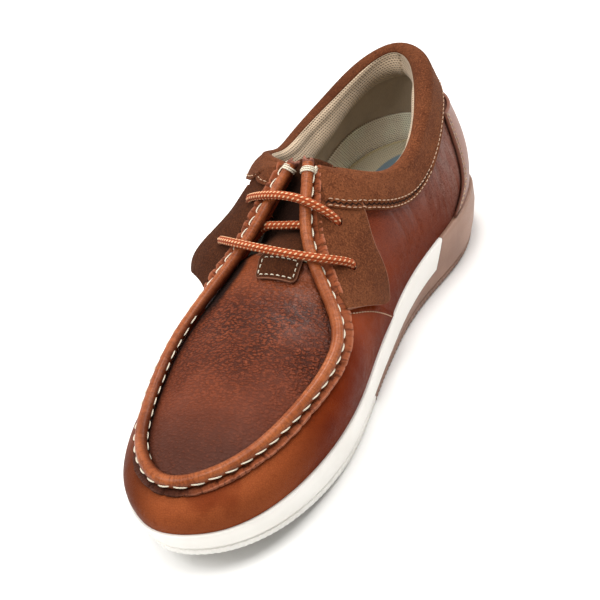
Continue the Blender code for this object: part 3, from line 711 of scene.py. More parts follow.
# ---------------------------------------------------------------------------------------------
# Raised seam. The apron's leather is rolled round a cord into a bead and sewn to the wall by hand.
# The wall's raw edge stands out beyond it as a thin puckered flange. Cream waxed thread goes through
# at every 7 mm. At the throat each bead's end is bound, and its leather is cut ragged above that.
# ---------------------------------------------------------------------------------------------
BEAD_R, BEAD_LIFT = 2.8, 0.45
FLANGE, FLANGE_THICK = 5.6, 1.2
BEAD_END = 0.4  # how far the bead goes on past the collar's front end
SEAM_STEP = 0.45  # between the rows of its meshes
# How far down the seam the flaps lift the flange, and the loose one tilts it.
FLAPS_TO, LOOSE_TO = 75, 84
PITCH = 6.9  # from stitch to stitch
THREAD_R = 0.38


def seam_frame(at):
    """The raised seam's foot, its way outwards along the wall, and its way up."""
    foot = wall(at, 1.0)
    up = wall_normal(at, 1.0)
    near, far = np.clip(at - 0.05, THROAT_IN, None), np.clip(at + 0.05, None, THROAT_OUT)
    ahead = unit(seam(far)[..., :3] - seam(near)[..., :3])
    out = unit(np.cross(up, ahead))
    away = (out * outward(at)).sum(-1, keepdims=True)
    return foot, np.where(away < 0, -out, out), up


class Seam:
    """The seam by its length in millimetres, from the inner throat round the toe: its foot, its
    ways out and up, each of which goes straight on past both ends. The bead's outer end leans in
    over the throat."""

    def __init__(self):
        at = np.linspace(THROAT_IN, THROAT_OUT, 1600)
        foot, out, up = seam_frame(at)
        centre = foot + up * (BEAD_R + BEAD_LIFT)
        self.s = length_along(centre)
        self.rows = np.hstack([foot, out, up])
        self.length = self.s[-1]

    def __call__(self, s):
        s = np.asarray(s, float)
        held = np.clip(s, 0, self.length)
        row = between(held, self.s, self.rows)
        foot, out, up = row[..., :3], unit(row[..., 3:6]), unit(row[..., 6:])
        near = np.clip(held, 1.0, self.length - 1.0)
        feet = self.rows[:, :3]
        ahead = unit(between(near + 1, self.s, feet) - between(near - 1, self.s, feet))
        return foot + (s - held)[..., None] * ahead, out, up

    def bead(self, s, angle, radius):
        """Points on the bead: the angle goes from straight out, 0, over the top, 90."""
        foot, out, up = self(s)
        bent = np.clip((s - self.length + 24) / 24, 0, 1.3)
        centre = foot + up * (BEAD_R + BEAD_LIFT) - (1.8 * bent * bent)[..., None] * out
        way = np.cos(angle)[..., None] * out + np.sin(angle)[..., None] * up
        return centre + radius[..., None] * way


moc = Seam()


def pinch(s, width=0.16, shift=0.0):
    """1 at each stitch hole and 0 halfway between two."""
    phase = (s / PITCH + shift) % 1.0
    return np.exp(-((np.minimum(phase, 1 - phase) / width) ** 2))


def bead_leather():
    """Apron leather stretched over the cord and finely wrinkled across: painted shade darkens both
    lower flanks and, at the toe, its inner side, so that it reads brighter on top."""
    hide = Finish("tan_bead_leather", Coat_Roughness=0.27, Specular_IOR_Level=0.06)
    spot = hide.place()
    along, round_it = hide.run()
    cloud = hide.noise(spot, 0.05, 3.0, 0.55)
    mottle = hide.noise(spot, 0.5, 3.0, 0.6)
    colour = hide.mix(hide.span(cloud, 0.34, 0.66), (0.275, 0.066, 0.018), (0.400, 0.112, 0.034))
    # Painted shade on both lower flanks of the bead, leaving its top brighter.
    foot = hide.span(round_it, 0.60, 0.84) + hide.span(round_it, 0.40, 0.16)
    colour = hide.mix(foot * 0.88, colour, (0.065, 0.010, 0.003))
    x = hide.axes(spot, "X")[0]
    # Painted shade on the bead's inner side, towards the apron, at the toe.
    inner = hide.span(round_it, 0.50, 0.68) * hide.span(x, 92.0, 122.0)
    colour = hide.mix(inner * 0.72, colour, (0.090, 0.021, 0.008))
    colour = hide.mix(hide.span(mottle, 0.55, 0.80) * 0.3, colour, (0.13, 0.026, 0.007))
    line = hide.node("CombineXYZ", {}, {"X": along * 3.4, "Y": round_it * 1.6})
    wrinkle = hide.noise(line, 1.9, 3.0, 0.55, 0.5)
    lines = 1 - hide.span((wrinkle - 0.5).to("ABSOLUTE"), 0.0, 0.06)
    hide.feed("Base Color", hide.mix(lines * 0.32, colour, (0.09, 0.018, 0.006)))
    hide.feed("Roughness", hide.span(mottle, 0.3, 0.7, 0.33, 0.46))
    hide.feed("Coat Weight", hide.span(cloud, 0.3, 0.7, 0.22, 0.36))
    hide.bump(grain(hide, spot, 0.8) * 0.35 + (1 - lines) * 0.45, 0.35)
    return hide.material


def flange_leather():
    """The wall's raw edge, pulled into pleats by the stitches: dark in the pleats, pale where cut,
    and darker round the outer half of the toe."""
    hide = Finish("flange_leather", Coat_Roughness=0.3, Specular_IOR_Level=0.15)
    spot = hide.place()
    along, across_it = hide.run()
    colour = hide.mix(hide.noise(spot, 0.35, 4.0, 0.6), (0.19, 0.043, 0.013), (0.34, 0.088, 0.030))
    edge = hide.span(across_it, 0.80, 0.98) * hide.span(across_it, 1.45, 1.2)
    colour = hide.mix(edge * 0.5, colour, (0.42, 0.17, 0.10))
    line = hide.node("CombineXYZ", {}, {"X": along * 4.6, "Y": across_it * 0.9})
    pleat = hide.noise(line, 1.2, 3.0, 0.6, 0.4)
    colour = hide.mix(hide.span(pleat, 0.50, 0.62) * 0.65, colour, (0.06, 0.013, 0.006))
    x, y = hide.axes(spot, "XY")
    # Darker round the outer half of the toe.
    outer_toe_darker = hide.span(y, 26.0, 6.0) * hide.span(x, 80.0, 106.0)
    hide.feed("Base Color", hide.mix(outer_toe_darker * 0.86, colour, (0.026, 0.006, 0.003)))
    hide.feed("Roughness", hide.span(pleat, 0.3, 0.7, 0.5, 0.68))
    hide.bump(pleat * 0.6 + grain(hide, spot, 0.7) * 0.4, 0.30)
    return hide.material


def waxed_thread(name, colour, turns_per_mm=0.9):
    """Twisted thread: slanting plies, darker in the grooves between them. Its length runs along each
    stitch.
    """
    yarn = Finish(name, Specular_IOR_Level=0.35)
    along, round_it = yarn.run()
    ply = ((along * (10 * turns_per_mm) + round_it * 2.0) * (2 * math.pi)).to("SINE") * 0.5 + 0.5
    dark = tuple(c * 0.72 for c in colour)
    yarn.feed("Base Color", yarn.mix(yarn.span(ply, 0.05, 0.45), dark, colour))
    yarn.feed("Roughness", yarn.span(ply, 0.0, 1.0, 0.75, 0.55))
    yarn.bump(ply, 0.12)
    return yarn.material


def threads(name, lines, radius, finish, sides=8, flat=1.0):
    """One mesh of many short threads, each a tube round its line with drawn-in ends."""
    points, faces, run = [], [], []
    for line in lines:
        line = np.asarray(line, float)
        count = len(line)
        way = unit(np.gradient(line, axis=0))
        side = unit(np.cross(way, UP + 1e-3))
        other = np.cross(side, way)
        s = length_along(line)
        share = np.linspace(-1, 1, count)
        fat = radius * (1 - np.abs(share) ** 6 * 0.75)
        first = len(points)
        for k in range(count):
            for j in range(sides):
                angle = 2 * math.pi * j / sides
                ring = math.cos(angle) * side[k] + math.sin(angle) * flat * other[k]
                points.append(line[k] + fat[k] * ring)
        for k in range(count - 1):
            for j in range(sides):
                i = (j + 1) % sides
                a, b = first + k * sides, first + (k + 1) * sides
                faces.append((a + j, b + j, b + i, a + i))
                u, v = s[k] / 10, s[k + 1] / 10
                run += [(u, j / sides), (v, j / sides), (v, (j + 1) / sides), (u, (j + 1) / sides)]
        for ring, turned in ((first, False), (first + (count - 1) * sides, True)):
            cap = list(range(ring, ring + sides))
            faces.append(tuple(reversed(cap)) if turned else tuple(cap))
            run += [(0.0, j / sides) for j in range(sides)]
    return piece(name, points, faces, finish, run, 60)


def lobes(s):
    """A slow unevenness along the seam, of about one either way."""
    return 0.5 * np.sin(s / 9.7 + 0.6) + 0.3 * np.sin(s / 4.3 + 2.0) + 0.2 * np.sin(s / 2.1 + 4.0)


s = np.arange(-BEAD_END, moc.length + BEAD_END, SEAM_STEP)[:, None]
angle = np.linspace(0, 2 * math.pi, 28, endpoint=False)[None, :] - math.pi / 2
outer_flank = np.clip(np.cos(angle + 0.35), 0, 1) ** 2
inner_flank = np.clip(-np.cos(angle - 0.35), 0, 1) ** 2
outer_pinch, inner_pinch = outer_flank * pinch(s), inner_flank * pinch(s, shift=0.5)
radius = BEAD_R * (1 + 0.02 * lobes(s) - 0.10 * outer_pinch - 0.05 * inner_pinch)
points = moc.bead(s + 0 * angle, angle + 0 * s, radius)
turn = np.append(angle[0] + math.pi / 2, 2 * math.pi) / (2 * math.pi)
run = together(s / 10, turn[None, :])
bead = grid("raised_seam", points, bead_leather(), run, closed=True, caps=True)
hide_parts("moc_seam")

s = np.arange(0, moc.length, SEAM_STEP)[:, None]
share = np.linspace(0, 1, 14)[None, :]
toe_side = np.exp(-(((s / moc.length) - 0.5) / 0.17) ** 2)
foot, out, up = moc(s + 0 * share)
toe_pleats = 0.14 * np.sin(s * 2 * math.pi / 1.9 + 1.4 * np.sin(s / 3.1)) * toe_side
pleats = toe_pleats + 0.18 * np.sin(s / 0.9 + 2)
creased = pinch(s, 0.09) * (0.75 + 0.25 * np.sin(s / 5.0))
wave = 0.30 * lobes(s * 1.7 + 5) - 0.5 * creased
wide = FLANGE + 2.2 * np.exp(-(((s - 56) / 46) ** 4)) + wave
reach = (BEAD_R * 0.5 + (wide - BEAD_R * 0.5) * share)[..., None]
lift = GAP + FLANGE_THICK + share * (0.25 + 0.4 * np.sin(s / 6.3)) + share * pleats
lift = lift - (0.2 + 0.7 * share) * creased
beside_flap = np.clip((FLAPS_TO - np.minimum(s, moc.length - s)) / 12, 0, 1)
over_flap = beside_flap * np.clip((share - 0.25) / 0.5, 0, 1)
tilted = np.clip((s - moc.length + LOOSE_TO) / 16, 0, 1) * share**1.2
raised = (1.7 * over_flap + 2.6 * tilted)[..., None]
lift = np.maximum(lift, GAP + 0.5)[..., None]
top = foot + reach * out + (lift + raised) * up
under = foot + reach * out + (GAP + raised) * up
points = np.concatenate([top, under[:, ::-1]], axis=1)
turn = np.concatenate([share[0], 1 + share[0], [2.0]])
run = together(s / 10, turn[None, :])
flange = grid("seam_flange", points, flange_leather(), run, closed=True, caps=True, flip=True)

cream = waxed_thread("cream_waxed_thread", (0.80, 0.72, 0.57))
stitches = []
for k in range(int((moc.length - 3) / PITCH)):
    start, end = (k + 0.5) * PITCH, (k + 1.5) * PITCH
    t = np.linspace(0, 1, 11)
    arch = np.sin(math.pi * t) ** 0.4
    from_throat = t if start < moc.length / 2 else 1 - t
    outer_side = min(max((start / moc.length - 0.55) / 0.12, 0.0), 1.0)
    slant = np.radians(-6 + 24 * from_throat + outer_side * (58 - 28 * arch) + 3 * math.sin(k * 2.3))
    radius = BEAD_R - 0.40 + (0.62 + 0.55 * outer_side) * arch
    stitches.append(moc.bead(np.linspace(start + 0.5, end - 0.5, 11), slant, radius))
    if moc.length / 2 < start < moc.length - LOOSE_TO:
        lean = math.radians(212) + 0.10 * math.sin(k * 1.7) + 0 * t
        radius = BEAD_R - 0.50 + 0.55 * arch
        stitches.append(moc.bead(np.linspace(start + 0.9, end - 0.7, 11), lean, radius))
threads("hand_stitches", stitches, THREAD_R, cream, flat=0.85)


def binding(name, start, way, turns, knot):
    """Thread wound round a bead's end, 1 mm to a turn, its tail looped back on the outer side."""
    angle = np.linspace(0, turns * 2 * math.pi, int(turns * 28))
    s = start + way * (angle / (2 * math.pi) + 0.25 * np.sin(angle))
    coil = moc.bead(s, angle - 0.8, BEAD_R + 0.28 + 0.10 * np.sin(angle * 0.7))
    t = np.linspace(0, 1, 22)
    loop = Curve(np.linspace(0, 1, len(knot)), knot)(t)
    tail = moc.bead(start + way * loop[:, 0], np.radians(loop[:, 1]), BEAD_R + loop[:, 2])
    threads(name, [coil, tail], 0.50, cream, flat=0.9)


# The tail's line: along the bead, round it in degrees, and off it, in millimetres.
KNOT_IN = [(0.3, 12, 0.0), (0.6, -4, 0.9), (2.2, -8, 1.4), (3.4, 2, 1.1), (3.0, 14, 0.7),
           (1.6, 10, 0.9), (0.2, 0, 0.3)]
KNOT_OUT = [(0.2, 20, 0.0), (1.6, 6, 0.7), (3.4, 2, 0.9), (4.2, 16, 0.6), (4.6, 34, 0.2)]
binding("binding_inner", 4.8, -1, 2.6, KNOT_IN)
binding("binding_outer", moc.length - 3.4, 1, 2.5, KNOT_OUT)


def ragged_leather():
    hide = Finish("ragged_leather", Roughness=0.75)
    along = hide.run()[0]
    fray = hide.noise(hide.place(), 1.1, 4.0, 0.6)
    colour = hide.mix(fray, (0.07, 0.015, 0.007), (0.22, 0.060, 0.028))
    hide.feed("Base Color", hide.mix(hide.span(along, 0.60, 0.95) * 0.45, colour, (0.42, 0.17, 0.11)))
    hide.bump(fray, 0.4)
    return hide.material


def tuft(name, start, way, points_round):
    """The bead leather's cut end: it flares above the binding into uneven points."""
    turns = np.linspace(0, 2 * math.pi, 48, endpoint=False)
    rows = []
    shares = np.linspace(0, 1, 9)
    spikes = np.interp(turns, np.linspace(0, 2 * math.pi, len(points_round)), points_round)
    spikes = spikes * (0.75 + 0.25 * np.abs(np.sin(turns * 4.5)))
    for shell, back in ((0.0, False), (0.75, True)):
        for share in shares[::-1] if back else shares:
            flare = BEAD_R * (0.86 + 0.22 * math.sin(share * 1.9)) - shell
            s = start + way * (spikes * share - (0.2 if back else 0.35))
            rows.append(moc.bead(s, turns, flare * (1 - 0.25 * share**3) + 0 * turns))
    points = np.array(rows)
    along = np.concatenate([shares, shares[::-1]])
    run = together(along[:, None], np.linspace(0, 1, len(turns) + 1)[None, :])
    grid(name, points, ragged, run, closed=True, caps=True, flip=way < 0)


ragged = ragged_leather()
tuft("tuft_inner", -BEAD_END + 0.6, -1, [2.2, 3.6, 1.8, 3.2, 4.6, 2.0, 3.8, 2.6, 2.2])
tuft("tuft_outer", moc.length + BEAD_END - 0.6, 1, [3.0, 2.0, 3.9, 2.2, 3.2, 4.2, 2.0, 3.4, 3.0])

# ---------------------------------------------------------------------------------------------
# Collar. A band of brown suede is sewn to the wall's outside and rolls over the top. Its low edge
# has two rows of thread and a pinked band, but one row round the heel and at its outer front end.
# Inside, it meets a foam pad in beige mesh all round the ankle, with an upright seam at the heel.
# ---------------------------------------------------------------------------------------------
SUEDE, CLEAR = 1.5, 0.5
COLLAR_LIFT = 2.0  # the suede's face off the wall's
# flare is how far the low edge stands off the wall, and out how far the roll leans outwards.
Edge = namedtuple("Edge", "top_at low_at low_height pad flare out")
COLLAR_EDGE = [
    Edge(6.39, 7.22, 0.872, 0.6, 2.1, 0.5),
    Edge(6.37, 7.04, 0.738, 0.9, 2.2, 0.5),
    Edge(6.28, 6.87, 0.656, 1.4, 2.1, 0.5),
    Edge(6.15, 6.72, 0.616, 1.9, 1.8, 0.4),
    Edge(5.96, 6.50, 0.632, 2.4, 1.4, 0.3),
    Edge(5.72, 6.22, 0.650, 2.9, 0.9, 0.2),
    Edge(5.36, 5.80, 0.676, 3.6, 0.4, 0.1),
    Edge(4.90, 5.30, 0.696, 4.2, 0.1, 0.0),
    Edge(4.10, 4.35, 0.720, 5.0, 0.0, 0.0),
    Edge(3.20, 3.28, 0.770, 6.0, 0.0, 0.0),
    Edge(2.20, 2.20, 0.795, 6.2, 0.0, 0.0),
    Edge(1.10, 1.10, 0.795, 5.6, 0.0, 0.0),
    Edge(0.00, 0.00, 0.795, 5.2, 0.0, 0.0),
    Edge(-1.10, -1.10, 0.795, 4.9, 0.0, -0.8),
    Edge(-2.20, -2.20, 0.795, 4.8, 0.0, -1.4),
    Edge(-3.20, -3.28, 0.770, 5.2, 0.0, -0.4),
    Edge(-4.10, -4.35, 0.730, 5.4, 0.3, 2.3),
    Edge(-4.90, -5.25, 0.725, 4.4, 1.4, 3.6),
    Edge(-5.60, -5.95, 0.745, 2.5, 4.2, 3.0),
    Edge(-6.00, -6.28, 0.750, 1.7, 4.7, 2.0),
    Edge(-6.22, -6.50, 0.756, 1.3, 4.9, 1.4),
    Edge(-6.36, -6.70, 0.798, 1.0, 4.4, 1.2),
    Edge(-6.46, -6.82, 0.855, 0.8, 3.4, 1.0),
    Edge(-6.54, -6.88, 0.915, 0.6, 2.0, 0.9),
]
PAD_DEPTH = 15.5  # how far the padding reaches down inside
PAD_IN = 2.0 + CLEAR  # from the upper's face in to the padding's back
PINK_PITCH, PINK_UP = 3.1, 2.5  # the pinked band's teeth, and its height over the low edge
PINK_ROUND_HEEL = 4.1  # stations from the back seam within which there is no band
# The rows of the table at which the upper stitches come down, the lower ones end, and the band ends.
FAR_END, ROW_END, BAND_END = 16.6, 16.8, 17.2
collar_steps = np.linspace(0, len(COLLAR_EDGE) - 1, 560)
collar_now = Curve(range(len(COLLAR_EDGE)), COLLAR_EDGE)(collar_steps)
top_at = collar_now[:, 0]
# How far round the roll the suede meets the mesh: further in round the heel.
mesh_from = np.radians(110 + 38 * np.exp(-((top_at / 3.2) ** 4)))


def nap(suede, spot, base, light, dark):
    """Suede's colour and height: brushed nap in soft clouds, with single fibres over them."""
    cloud = suede.noise(spot, 0.055, 3.0, 0.6)
    patch = suede.noise(spot, 0.30, 4.0, 0.65)
    fibre = suede.noise(spot, 1.25, 2.0, 0.7)
    colour = suede.mix(suede.span(cloud, 0.36, 0.64), base, light)
    colour = suede.mix(suede.span(patch, 0.50, 0.68) * 0.60, colour, dark)
    bright = tuple(c * 2.2 for c in light)
    colour = suede.mix(suede.span(fibre, 0.51, 0.68) * 0.45, colour, bright)
    colour = suede.mix(suede.span(fibre, 0.47, 0.34) * 0.50, colour, tuple(c * 0.5 for c in dark))
    return colour, fibre * 0.7 + patch * 0.3


SUEDE_TONES = [(0.116, 0.034, 0.013), (0.150, 0.047, 0.018), (0.080, 0.022, 0.008)]


def brown_suede(name, edge=None, pinked=None, shade=1.0, sheen=0.10, dim=None):
    """edge gives the place across at which the raw edge begins and ends. pinked gives how far along
    the band between the collar's stitch rows stops, starts again and ends; the band's zigzag is painted
    near black as shadow. dim gives the places along the shoe between which painted shadow fades in,
    and between which it fades out again."""
    suede = Finish(name, Sheen_Weight=sheen, Sheen_Roughness=0.45, Specular_IOR_Level=0.10)
    suede.shader.inputs["Sheen Tint"].default_value = (0.75, 0.42, 0.28, 1)
    spot = suede.place()
    tones = [tuple(c * shade for c in tone) for tone in SUEDE_TONES]
    colour, height = nap(suede, spot, *tones)
    along, across_it = suede.run()
    if edge:
        colour = suede.mix(suede.span(across_it, *edge) * 0.6, colour, (0.36, 0.16, 0.10))
    if pinked:
        x, y = suede.axes(spot, "XY")
        # Painted shade: darker on the outer side and round the heel, where the suede leans away from the
        # light.
        outer_and_heel_shade = suede.span(y, -4.0, -22.0) * 0.35 + suede.span(x, -70.0, -120.0) * 0.30
        colour = suede.mix(outer_and_heel_shade, colour, tuple(c * 0.5 for c in tones[2]))
        zigzag = (along * 10 / PINK_PITCH).to("PINGPONG", 0.5) * 2 - 0.5
        off = (across_it * 10 - PINK_UP - zigzag).to("ABSOLUTE")
        stops, starts, ends = (float(place) for place in pinked)
        before, behind, before_end = (suede.span(along * 10, place + side, place - side)
                                      for place, side in ((stops, 1), (starts, -1), (ends, 1)))
        # Painted shadow: a near-black zigzag along the pinked band's groove.
        dark = suede.span(off, 0.75, 0.25) * (before + behind) * before_end
        colour = suede.mix(dark * 0.9, colour, (0.012, 0.005, 0.003))
        height = height - dark * 1.5
    if dim:
        # Painted shadow, fading in and out between the places in dim.
        x = suede.axes(spot, "X")[0]
        shadow = suede.span(x, *dim[:2]) * suede.span(x, *dim[2:])
        colour = suede.mix(shadow * 0.85, colour, (0.008, 0.003, 0.002))
    suede.feed("Base Color", colour)
    suede.feed("Roughness", suede.span(height, 0.3, 0.7, 0.88, 1.0))
    suede.bump(height, 0.45)
    return suede.material


def collar_roll():
    """The collar's rounded top at every step: its middle, its half widths outwards and upwards,
    and those two ways."""
    pad, shift = collar_now[:, 3], collar_now[:, 5]
    outside, inside = COLLAR_LIFT + shift, -PAD_IN - pad + 0.8 * shift
    out = wall_normal(top_at, 1.0)
    rise = unit(wall(top_at, 1.0) - wall(top_at, 0.96))
    half = (outside - inside)[:, None] / 2
    middle = wall(top_at, 1.0) + (outside + inside)[:, None] / 2 * out + CLEAR * rise
    return middle, half * out, 0.9 * half * rise


def collar_rows(shares, round_shares):
    """Points of the collar's suede, from its low edge up and over to where the mesh begins."""
    _, low_at, low_height, _, flare, shift = collar_now.T
    rows = []
    for share in shares:
        at = low_at + (top_at - low_at) * share
        height = low_height + (1 - low_height) * share
        off = COLLAR_LIFT + flare * (1 - share**3) + shift * share**3
        rows.append(wall(at, height) + off[:, None] * wall_normal(at, height))
    middle, out, rise = collar_roll()
    for share in round_shares:
        angle = (mesh_from * share)[:, None]
        rows.append(middle + out * np.cos(angle) + rise * np.sin(angle))
    return np.array(rows)


shares = np.linspace(0, 1, 30)[:-1]
points = collar_rows(shares, np.linspace(0, 1, 20))
up_it = length_along(points)
low_run = length_along(points[0])
# How far along the low edge the pinked band stops before the heel, starts behind it, and ends.
stops, starts = np.interp([-PINK_ROUND_HEEL, PINK_ROUND_HEEL], -top_at, low_run)
pinked = stops, starts, np.interp(BAND_END, collar_steps, low_run)
swell = 0.5 * np.sin(low_run / 17.0) * np.sin(np.linspace(0, 1, len(points)) * math.pi)[:, None]
crossways = unit(np.gradient(points, axis=1))
face = unit(np.cross(crossways, np.gradient(points, axis=0)))
zigzag = np.abs((low_run / PINK_PITCH) % 1 - 0.5) * 2 - 0.5
shows = (low_run < stops) | (low_run > starts) & (low_run < pinked[2])
band = np.exp(-(((up_it - PINK_UP - zigzag) / 0.6) ** 2)) * shows
points = points + (swell - 0.55 * band)[..., None] * face
run = together(low_run[None, :] / 10, up_it / 10)
collar_band = grid("collar_suede", points, brown_suede("collar_suede", pinked=pinked), run)
thicken(collar_band, 1.2)
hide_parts("collar")


STITCH_RISE, STITCH_SINK = 0.30, 0.18  # how far a stitch's middle stands up, and its ends go in


def machine_row(points, off, pitch=3.0, gap=0.9, start=0.0):
    """A row of short stitches along a line of points, lifted along off."""
    s = length_along(points)
    t = np.sin(np.linspace(0, math.pi, 6))
    lines = []
    for k in range(int((s[-1] - start) / pitch)):
        spots = np.linspace(start + k * pitch + gap / 2, start + (k + 1) * pitch - gap / 2, 6)
        line, way = between(spots, s, points), between(spots, s, off)
        lines.append(line + (STITCH_RISE * t - STITCH_SINK)[:, None] * way)
    return lines


def on_collar(rows_up, lift):
    """The line lifted off the collar's face so many millimetres above its low edge, and its way out."""
    line, way = (np.array([between(up, up_it[:, k], rows[:, k]) for k, up in enumerate(rows_up)])
                 for rows in (points, face))
    return line + lift * way, unit(way)


tan_thread = waxed_thread("tan_thread", (0.64, 0.42, 0.28), 1.6)
lines = []
# The lower row leaves out the heel and the outer front end, and the upper one comes down there.
round_heel = np.exp(-((top_at / 4.4) ** 8))
far_end = np.clip(collar_steps - FAR_END, 0, 1)
line, way = on_collar(0.9 + 0 * round_heel, 0.15)
for stitch in machine_row(line, way, start=0.4):
    k = np.linalg.norm(line - stitch[3], axis=1).argmin()
    if round_heel[k] < 0.6 and collar_steps[k] < ROW_END:
        lines.append(stitch)
line, way = on_collar(4.3 - 2.6 * round_heel - 2.3 * far_end, 0.15)
lines += machine_row(line, way, start=1.2)
threads("collar_stitches", lines, 0.24, tan_thread, sides=6)


def beige_mesh(name, cell=1.6, base=(0.54, 0.415, 0.29), deep=(0.27, 0.19, 0.125)):
    """Knitted spacer mesh: rows of small holes, set over by half in every second row."""
    cloth = Finish(name, Sheen_Weight=0.2, Specular_IOR_Level=0.2)
    along, across_it = cloth.run()
    u, v = along * (10 / cell), across_it * (10 / (cell * 0.8))
    row = v.to("FLOOR")
    shifted = u + row.to("MODULO", 2.0).to("ABSOLUTE") * 0.5
    y = v.to("FRACT") - 0.5
    x = (shifted + y * 0.5).to("FRACT") - 0.5
    hole = (x * x + y * y * 1.3).to("SQRT")
    yarn = cloth.span(hole, 0.16, 0.42)
    cloud = cloth.noise(cloth.place(), 0.05, 2.0)
    bright = tuple(min(1, c * 1.22) for c in base)
    lit = cloth.mix(cloth.span(cloud, 0.35, 0.65), base, bright)
    cloth.feed("Base Color", cloth.mix(yarn, deep, lit))
    cloth.feed("Roughness", cloth.span(yarn, 0.0, 1.0, 0.98, 0.88))
    cloth.bump(yarn, 0.45)
    return cloth.material


ROLL_ROWS, DOWN_ROWS = 14, 24


def pad_loop():
    """The padding's closed section at every collar step: over the roll, down inside, and back up."""
    pad, shift = collar_now[:, 3:4], collar_now[:, 5:6]
    middle, out, rise = collar_roll()
    length = np.linalg.norm(wall(top_at, 1.0) - wall(top_at, 0.8), axis=-1) / 0.2
    rows = []
    for t in np.linspace(0, 1, ROLL_ROWS):
        angle = (mesh_from + 0.03 + (math.pi - mesh_from - 0.03) * t)[:, None]
        rows.append(middle + out * np.cos(angle) + rise * np.sin(angle))
    for t in np.linspace(0, 1, DOWN_ROWS)[1:]:
        height = 1 - PAD_DEPTH * t / length
        fall = pad * (1 + 0.45 * math.sin(math.pi * t) - 0.80 * t**3) - 0.8 * shift * (1 - t) ** 2
        rows.append(wall(top_at, height) + (-PAD_IN - fall) * wall_normal(top_at, height))
    for t in np.linspace(1, 0, 6):
        height = 1 - PAD_DEPTH * t / length
        rows.append(wall(top_at, height) + (-PAD_IN + 0.25) * wall_normal(top_at, height))
    rows.append(middle + 0.1 * out + 0.35 * rise)
    return np.array(rows)


pad_points = pad_loop()
around = length_along(pad_points)
along = length_along(pad_points[0])
heel_seam = np.exp(-(((along - along[len(along) // 2]) / 0.9) ** 2))
tucks = 0.35 * np.sin(along / 11.0) + 0.25 * np.sin(along / 4.7 + 1.0)
inner_face = unit(np.cross(np.gradient(pad_points, axis=1), np.gradient(pad_points, axis=0)))
shown = np.zeros(len(pad_points))
shown[2 : ROLL_ROWS + DOWN_ROWS - 2] = 1.0
pad_points = pad_points + inner_face * (shown[:, None] * (tucks - 1.1 * heel_seam))[..., None]
section = np.transpose(pad_points, (1, 0, 2))
run = together(along[:, None] / 10, np.vstack([around, around[-1:] + 3]).T / 10)
mesh_cloth = beige_mesh("beige_mesh")
padding = grid("collar_padding", section, mesh_cloth, run, closed=True, caps=True, flip=True)

# ---------------------------------------------------------------------------------------------
# Linings. The quarters are lined with smooth grey-brown cloth down to the insole. A cup of coarser,
# paler mesh stands round the heel inside it, and stops before the ankle.
# ---------------------------------------------------------------------------------------------


def lining_cloth():
    cloth = Finish("smooth_lining", Sheen_Weight=0.15, Specular_IOR_Level=0.3)
    spot = cloth.place()
    weave = cloth.noise(cloth.stretched(spot, (1.0, 1.0, 0.25)), 2.2, 2.0)
    cloud = cloth.noise(spot, 0.04, 2.0)
    colour = cloth.mix(cloud, (0.41, 0.315, 0.220), (0.56, 0.435, 0.315))
    colour = cloth.mix(weave * 0.3, colour, (0.18, 0.132, 0.088))
    # Painted shade: the lining goes near black towards the front, in the shade under the throat.
    forward = cloth.span(cloth.axes(spot, "X")[0], -64.0, -38.0)
    cloth.feed("Base Color", cloth.mix(forward * 0.96, colour, (0.008, 0.006, 0.005)))
    cloth.feed("Roughness", cloth.span(weave, 0.3, 0.7, 0.62, 0.8))
    cloth.bump(weave, 0.12)
    return cloth.material


at = np.linspace(0, STATIONS, 240, endpoint=False)[None, :]
height = np.linspace(0.03, 0.90, 22)[:, None]
points = wall(at, height) + (wall_relief(at, height) - LEATHER - 0.3)[..., None] * wall_normal(at, height)
lining = thicken(grid("quarter_lining", points, lining_cloth(), closed=True), 0.5)

at = np.linspace(-4.6, 4.6, 200)[:, None]
share = np.linspace(0, 1, 26)[None, :]
from_seam = np.abs(at)
cup_top = 0.37 + 0.05 * np.clip(from_seam / 2.2, 0, 1) - 0.12 * np.clip((from_seam - 2.6) / 2.0, 0, 1) ** 2
height = 0.04 + (cup_top - 0.04) * share
bulge = LEATHER + 0.9 + 1.6 * np.sin(np.pi * share) ** 0.6
points = wall(at, height) - bulge[..., None] * wall_normal(at, height)
cup_mesh = beige_mesh("cup_mesh", 1.7, (0.95, 0.83, 0.65), (0.54, 0.43, 0.31))
heel_cup = thicken(grid("heel_cup", points, cup_mesh, together(at * 2.4, share * 2.4), flip=True), 0.6)

# ---------------------------------------------------------------------------------------------
# Insole. A moulded footbed covered with woven linen, raised at its rim to cradle the heel, its
# edge rubbed to straw colour. A plain oval of blue-grey cloth is heat-set under the heel.
# ---------------------------------------------------------------------------------------------
INSOLE_RISE = 4.0
YARN = 1.5  # from yarn to yarn of its cloth
OVAL = (-107.0, 0.0, 28.5, 14.5)  # centre and half sizes in the scene's frame, in millimetres


